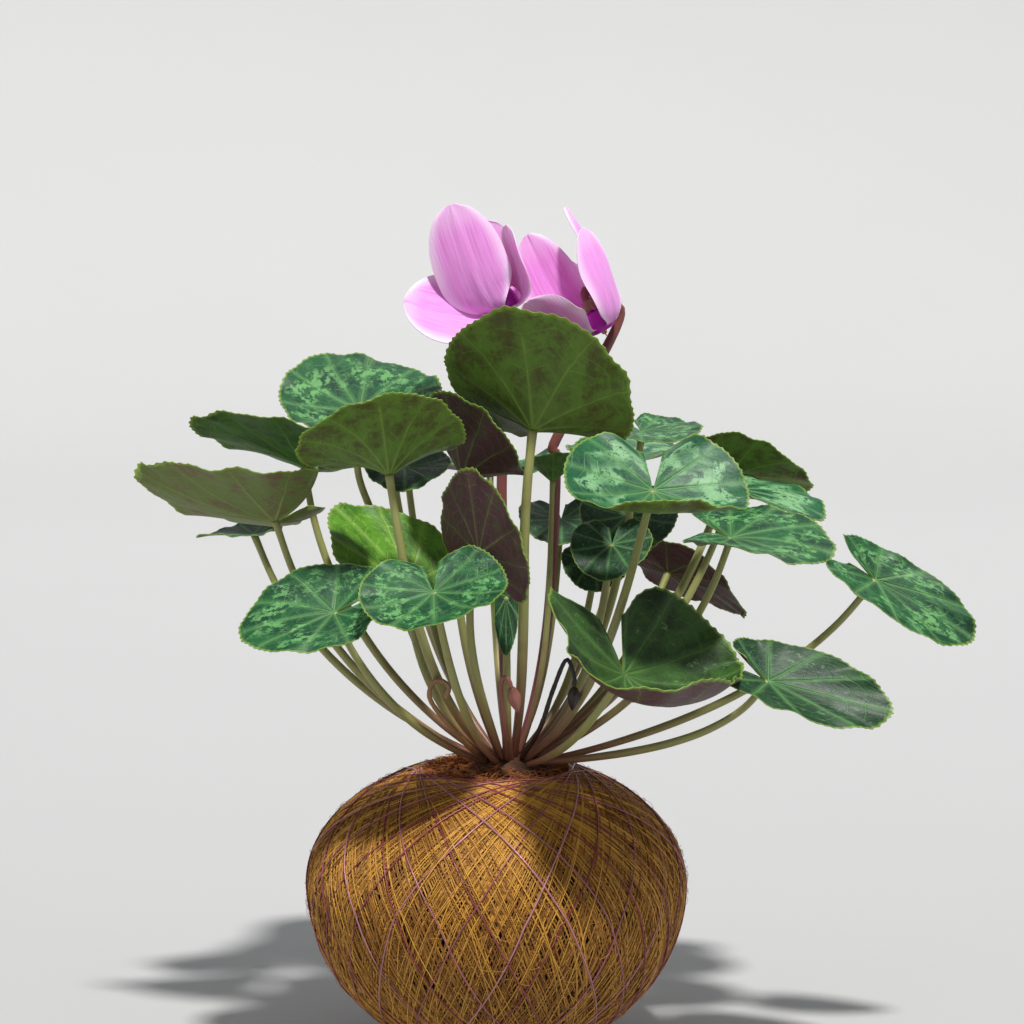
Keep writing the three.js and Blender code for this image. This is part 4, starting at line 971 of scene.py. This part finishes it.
def cad_blade_corners(shape):
    """Where the corners of the blade's CAD solid lie."""
    columns, rings = CAD_BLADE[shape["large"]]
    spots = [(rho, -WIDEST + 2 * WIDEST * i / columns) for rho in rings for i in range(columns + 1)]
    spots += [(1 + (CAD_TOOTH if i % 2 else -CAD_TOOTH), -WIDEST + WIDEST * i / columns)
              for i in range(2 * columns + 1)]
    rho, theta = np.array(spots).T
    return blade_points(shape, rho, theta)


def ring_middles(spots, start, end):
    """Groups corners into rings and puts the rings' middles in order from start to end."""
    spots = list(spots)
    middles = []
    while spots:
        ring = [spots.pop()]
        grown = True
        while grown:
            grown = False
            for spot in list(spots):
                if min(np.linalg.norm(spot - other) for other in ring) < RING_REACH:
                    ring.append(spot)
                    spots = [s for s in spots if s is not spot]
                    grown = True
        if len(ring) >= 3:
            middles.append(np.mean(ring, axis=0))
    order, here = [], np.array(start, float)
    while middles:
        middles.sort(key=lambda middle: np.linalg.norm(middle - here))
        here = middles.pop(0)
        order.append(here)
    return np.array(order + [np.array(end, float)])


def smooth_path(points, steps):
    """A round curve through the points, by equal steps."""
    points = np.array(points, float)
    points = np.concatenate([[2 * points[0] - points[1]], points, [2 * points[-1] - points[-2]]])
    dense = []
    for a, b, c, d in zip(points, points[1:], points[2:], points[3:]):
        for t in np.linspace(0, 1, 12, endpoint=False):
            dense.append(0.5 * (2 * b + (c - a) * t + (2 * a - 5 * b + 4 * c - d) * t * t
                                + (3 * b - a - 3 * c + d) * t ** 3))
    dense = np.array(dense + [points[-2]])
    gone = np.concatenate([[0], np.cumsum(np.linalg.norm(np.diff(dense, axis=0), axis=1))])
    wanted = np.linspace(0, gone[-1], steps)
    return np.stack([np.interp(wanted, gone, dense[:, k]) for k in range(3)], -1)


def tube_faces(steps, sides):
    """The faces of a capped tube."""
    ends = np.arange(sides)[None]
    return [grid_faces(steps, sides, True)[:, ::-1], ends, (steps - 1) * sides + ends[:, ::-1]]


def tube_map(steps, sides):
    """How far round and how far along each point of a tube lies, from 0 to 1."""
    along, around = np.linspace(0, 1, steps), round_steps(sides) / (2 * np.pi)
    return np.stack(np.meshgrid(along, around, indexing="ij")[::-1], -1)


def stalk_surface(path, radii, finish_name, sides=12):
    """A round stalk along a path. Its rings don't twist."""
    steps = len(path)
    ahead = unit(np.gradient(path, axis=0))
    across = np.empty_like(path)
    across[0] = unit(np.cross(ahead[0], [0.3, 1.0, 0.2]))
    for i in range(1, steps):
        across[i] = unit(across[i - 1] - np.dot(across[i - 1], ahead[i]) * ahead[i])
    other = np.cross(ahead, across)
    angle = round_steps(sides)[None, :, None]
    ring = across[:, None] * np.cos(angle) + other[:, None] * np.sin(angle)
    points = path[:, None] + radii[:, None, None] * ring
    return surface(points, tube_faces(steps, sides), finish_name, tube_map(steps, sides))


def petiole(shape):
    """The leaf's stalk, along the route of its CAD solid."""
    spots = corner_spots(shape["name"])
    at = np.array(shape["at"], float)
    blade = cad_blade_corners(shape)
    clear = np.min(np.linalg.norm(spots[:, None] - blade[None], axis=-1), axis=1) > BLADE_CLEARANCE
    clear &= np.linalg.norm(spots - at, axis=1) > ROOT_CLEARANCE
    path = smooth_path(ring_middles(spots[clear], CROWN, at), PETIOLE_STEPS)
    path[0] -= unit(path[1] - path[0]) * 0.6
    part = np.linspace(0, 1, PETIOLE_STEPS)
    base, middle, end = PETIOLE
    lower = base + (middle - base) * smooth(0, 0.35, part)
    radii = shape["thick"] * (lower + (end - middle) * smooth(0.5, 1, part))
    radii = radii * (1 + 0.12 * smooth(0.93, 1.0, part) + 0.14 * smooth(0.06, 0.0, part))
    return stalk_surface(path, radii, "petiole_skin")


def make_leaves():
    for shape in LEAVES:
        parts = [*blade_surfaces(shape), petiole(shape)]
        make_piece("grown_" + shape["name"], parts, "leaf_green", shape["name"])


# ---------- Flowers ----------

def rotated(vectors, axes, angles):
    """Each vector turned about its axis."""
    return np.array([np.array(Quaternion(Vector(axis), float(angle)) @ Vector(vector))
                     for vector, axis, angle in zip(vectors, axes, angles)])


def petal_surfaces(flower, number):
    """A petal that leaves the mouth outwards and turns back to its tip."""
    reach, roll, width = flower["petals"][number]
    axis = unit(np.array(flower["axis"], float))
    mouth, reach = np.array(flower["mouth"], float), np.array(reach, float)
    out = unit(reach - np.dot(reach, axis) * axis)
    start = mouth + out * (MOUTH_RADIUS - 1.8) + axis * (1 + PETAL_LAYER * number)
    bend = start + out * PETAL_BEND[0] - axis * PETAL_BEND[1]
    end = mouth + reach
    rows, columns = PETAL_GRID
    t = np.linspace(0, 1, rows)
    spine = np.outer((1 - t) ** 2, start) + np.outer(2 * (1 - t) * t, bend) + np.outer(t * t, end)
    along = unit(np.outer(1 - t, bend - start) + np.outer(t, end - bend))
    level = np.broadcast_to(np.cross(out, axis), along.shape)
    side = rotated(level, along, math.radians(roll) * smooth(0, 0.5, t))
    face = np.cross(side, along)
    body = 0.13 + 0.37 * smooth(0.05, 0.62, t)
    body = body * np.sqrt(np.clip(1 - (np.clip(t - 0.7, 0, 1) / 0.303) ** 2.4, 0, 1))
    v = np.linspace(-1, 1, columns)
    half = (width * body)[:, None] * v
    waves = np.sin(9 * t[:, None] * (1 + 0.2 * number) + 2 * v + number)
    ruffle = PETAL_RUFFLE * waves * np.abs(v) ** 3
    cup = 0.12 * width * v ** 2 * smooth(0, 0.4, t)[:, None] * (body / 0.5)[:, None] ** 2
    crease = -0.45 * np.exp(-(v / 0.09) ** 2) * smooth(0.05, 0.3, t)[:, None]
    height = cup + ruffle * smooth(0.15, 0.6, t)[:, None] + crease
    middle = spine[:, None] + side[:, None] * half[..., None] + face[:, None] * height[..., None]
    normals = unit(np.cross(np.gradient(middle, axis=0), np.gradient(middle, axis=1)))
    thick = normals * PETAL_THICKNESS * (0.5 - 0.2 * np.abs(v)[:, None] ** 4)
    polar = np.stack(np.meshgrid(t, (v + 1) / 2, indexing="ij")[::-1], -1).reshape(-1, 2)
    flat = np.stack([half / width + number, np.broadcast_to(t[:, None], half.shape)], -1).reshape(-1, 2)
    edge = outline(rows, columns)
    return two_faced(middle + thick, middle - thick, [grid_faces(rows, columns)], edge,
                     ("petal_face", "petal_face"), polar, flat, polar[edge])


def upright_ring(axis):
    """Two directions square to an axis and to each other."""
    first = unit(np.cross(axis, [0.2, 1.0, 0.1]))
    return first, np.cross(axis, first)


def turned(profile, axis, origin, finish_name, sides=40, lobes=0, depth=0.0):
    """A turned form: profile holds (radius, height) pairs along the axis."""
    axis = unit(np.array(axis, float))
    first, second = upright_ring(axis)
    radius, height = np.array(profile, float).T
    angle = round_steps(sides)
    swell = 1 + depth * np.cos(lobes * angle)
    ring = np.cos(angle)[:, None] * first + np.sin(angle)[:, None] * second
    points = (np.array(origin, float) + height[:, None, None] * axis
              + (radius[:, None] * swell[None])[..., None] * ring[None])
    rows = len(profile)
    return surface(points, tube_faces(rows, sides), finish_name, tube_map(rows, sides))


def rounded(profile, steps=30):
    """The profile with its corners taken off."""
    path = smooth_path([(r, h, 0) for r, h in profile], steps)
    return [(max(0.02, r), h) for r, h, _ in path]


def make_flower(flower):
    axis = unit(np.array(flower["axis"], float))
    mouth = np.array(flower["mouth"], float)
    parts = [turned(rounded(BULB), axis, mouth, "mouth_magenta", lobes=5, depth=0.07)]
    for number in range(len(flower["petals"])):
        parts += petal_surfaces(flower, number)
    first, second = upright_ring(axis)
    for k in range(5):
        angle = 2 * math.pi * k / 5
        out = first * math.cos(angle) + second * math.sin(angle)
        foot, tip = mouth + out * 1.6 + axis * 2.2, mouth + out * 0.7 - axis * 1.4
        anther = smooth_path([foot, (foot + tip) / 2, tip], 8)
        parts.append(stalk_surface(anther, np.linspace(0.75, 0.25, 8), "anther", 8))
    style = smooth_path([mouth + axis * 2.2, mouth, mouth - axis * 2.4], 8)
    parts.append(stalk_surface(style, np.full(8, 0.28), "mouth_magenta", 8))
    make_piece("grown_" + flower["name"] + "_petals", parts, "petal_pink", flower["name"] + "_petals")
    make_flower_stalk(flower, axis, mouth)


def make_flower_stalk(flower, axis, mouth):
    """The stalk follows its CAD solid, then hooks over into the bulb. Five sepals hold the bulb."""
    past = np.array(flower["pass"], float)
    seat = mouth + axis * (BULB_HEIGHT + SEAT_GAP)
    aside = unit(past - np.dot(past, axis) * axis)
    hook = [mouth + past, *(seat + aside * out + axis * up for out, up in HOOK)]
    spots = corner_spots(flower["name"] + "_stalk")
    middles = ring_middles(spots[spots[:, 2] < flower["below"][2] - 3], CROWN, flower["below"])
    path = smooth_path(np.concatenate([middles, hook]), 110)
    part = np.linspace(0, 1, len(path))
    radii = 1.7 + 0.4 * smooth(0, 0.35, part) - 0.6 * smooth(0.75, 0.95, part)
    parts = [stalk_surface(path, radii, "flower_stalk_skin"),
             turned(rounded(SEAT), axis, seat, "sepal_skin", lobes=5, depth=0.08)]
    first = unit(np.array([1.0, 0, 0]) - axis[0] * axis)
    for k in range(5):
        parts.append(sepal(seat, axis, rotated([first], [axis], [2 * math.pi * k / 5])[0]))
    make_piece("grown_" + flower["name"] + "_stalk", parts, "flower_stalk", flower["name"] + "_stalk")


def sepal(seat, axis, side):
    """A small pointed leaf that bends down over the bulb."""
    rows, columns = SEPAL_GRID
    down, over = np.linspace(0, 1, rows)[:, None, None], np.linspace(-1, 1, columns)[None, :, None]
    spine = (seat + side * 2.2 + axis * 1.6) + down * (side * 1.8 - axis * 2.6)
    spine = spine + axis * 0.9 * np.sin(np.pi * down)
    middle = spine + np.cross(axis, side) * over * 1.35 * (1 - down) ** 0.7 - side * 0.35 * over ** 2
    flesh = 0.25 * side + 0.15 * axis
    grid, edge, count = grid_faces(rows, columns), outline(rows, columns), rows * columns
    after = np.roll(edge, -1)
    faces = [grid[:, ::-1], grid + count, np.stack([edge, after, after + count, edge + count], -1)]
    return surface(np.stack([middle + flesh, middle - flesh]), faces, "sepal_skin")


# ---------- Withered and young stalks ----------

def make_small_stalk(stalk):
    steps = 60
    path = smooth_path(stalk["points"], steps)
    part = np.linspace(0, 1, steps)
    wrinkle = 1 + 0.08 * np.sin(90 * part) * np.sin(37 * part)
    radii = stalk["radius"] * (1.05 - 0.25 * part) * wrinkle
    parts = [stalk_surface(path, radii, stalk["finish"], 10)]
    if stalk["bud"]:
        length, width = stalk["bud"]
        body = rounded([(0.02, -0.8), (width * 0.55, 0), (width * 0.95, length * 0.35),
                        (width * 0.55, length * 0.75), (0.02, length)], 24)
        parts.append(turned(body, unit(path[-1] - path[-3]), path[-1], stalk["finish"], 24, 5, 0.1))
    make_piece("grown_" + stalk["name"], parts, stalk["finish"], stalk["name"])


# ---------- Room, light and camera ----------

def make_stage():
    """A pale floor that rises into a pale wall far away on every side."""
    rise = np.linspace(0.15, math.pi / 2, 12)
    radius = np.concatenate([[0.001, FLOOR_RADIUS], FLOOR_RADIUS + WALL_HEIGHT * np.sin(rise)])
    height = np.concatenate([[0, 0], WALL_HEIGHT - WALL_HEIGHT * np.cos(rise)])
    points = ring_of(radius[:, None], round_steps(96)[None], height[:, None]).reshape(-1, 3)
    mesh = bpy.data.meshes.new("pale_floor")
    mesh.from_pydata(points.tolist(), [], grid_faces(len(radius), 96, True).tolist())
    mesh.polygons.foreach_set("use_smooth", [True] * len(mesh.polygons))
    floor = bpy.data.objects.new("pale_floor", mesh)
    bpy.context.scene.collection.objects.link(floor)
    material = bpy.data.materials.new("pale_floor")
    material.use_nodes = True
    tree = Tree(material.node_tree)
    shader = material.node_tree.nodes["Principled BSDF"]
    tone = tree.mix(tree.noise(tree.place(), 3.0), *colours(*FLOOR_TONES))
    tree.feed(shader.inputs["Base Color"], tone)
    shader.inputs["Roughness"].default_value = 0.8
    mesh.materials.append(material)


def aimed(name, data, place, target):
    light = bpy.data.objects.new(name, data)
    light.location = place
    light.rotation_mode = "QUATERNION"
    light.rotation_quaternion = (Vector(target) - Vector(place)).to_track_quat("-Z", "Y")
    bpy.context.scene.collection.objects.link(light)


def make_light():
    """A key from high in front, soft fill from both sides, and a wash on the wall behind."""
    key = bpy.data.lights.new("key", "SUN")
    key.energy, key.angle, key.color = SUN_ENERGY, math.radians(5), (1.0, 0.98, 0.95)
    aimed("key", key, SUN_FROM, (0, 0, 0))
    for name, place, size, power, target in SOFT_LIGHTS:
        data = bpy.data.lights.new(name, "AREA")
        data.shape, data.size, data.energy = "DISK", size, power
        aimed(name, data, place, target)
    world = bpy.data.worlds.new("studio")
    world.use_nodes = True
    sky = world.node_tree.nodes["Background"].inputs
    sky["Color"].default_value, sky["Strength"].default_value = SKY
    bpy.context.scene.world = world


def make_camera():
    data = bpy.data.cameras.new("camera")
    data.lens, data.sensor_width = CAMERA_LENS, 36
    data.clip_start, data.clip_end = 0.01, 50
    camera = bpy.data.objects.new("camera", data)
    camera.location = CAMERA_PLACE
    camera.rotation_euler = (math.radians(90 - CAMERA_PITCH), 0, 0)
    bpy.context.scene.collection.objects.link(camera)
    bpy.context.scene.camera = camera


make_camera()
make_stage()
make_light()
make_ball()
make_mound()
make_tuber()
make_leaves()
for one_flower in FLOWERS:
    make_flower(one_flower)
for one_stalk in SMALL_STALKS:
    make_small_stalk(one_stalk)

bpy.context.scene.view_settings.view_transform = "Standard"
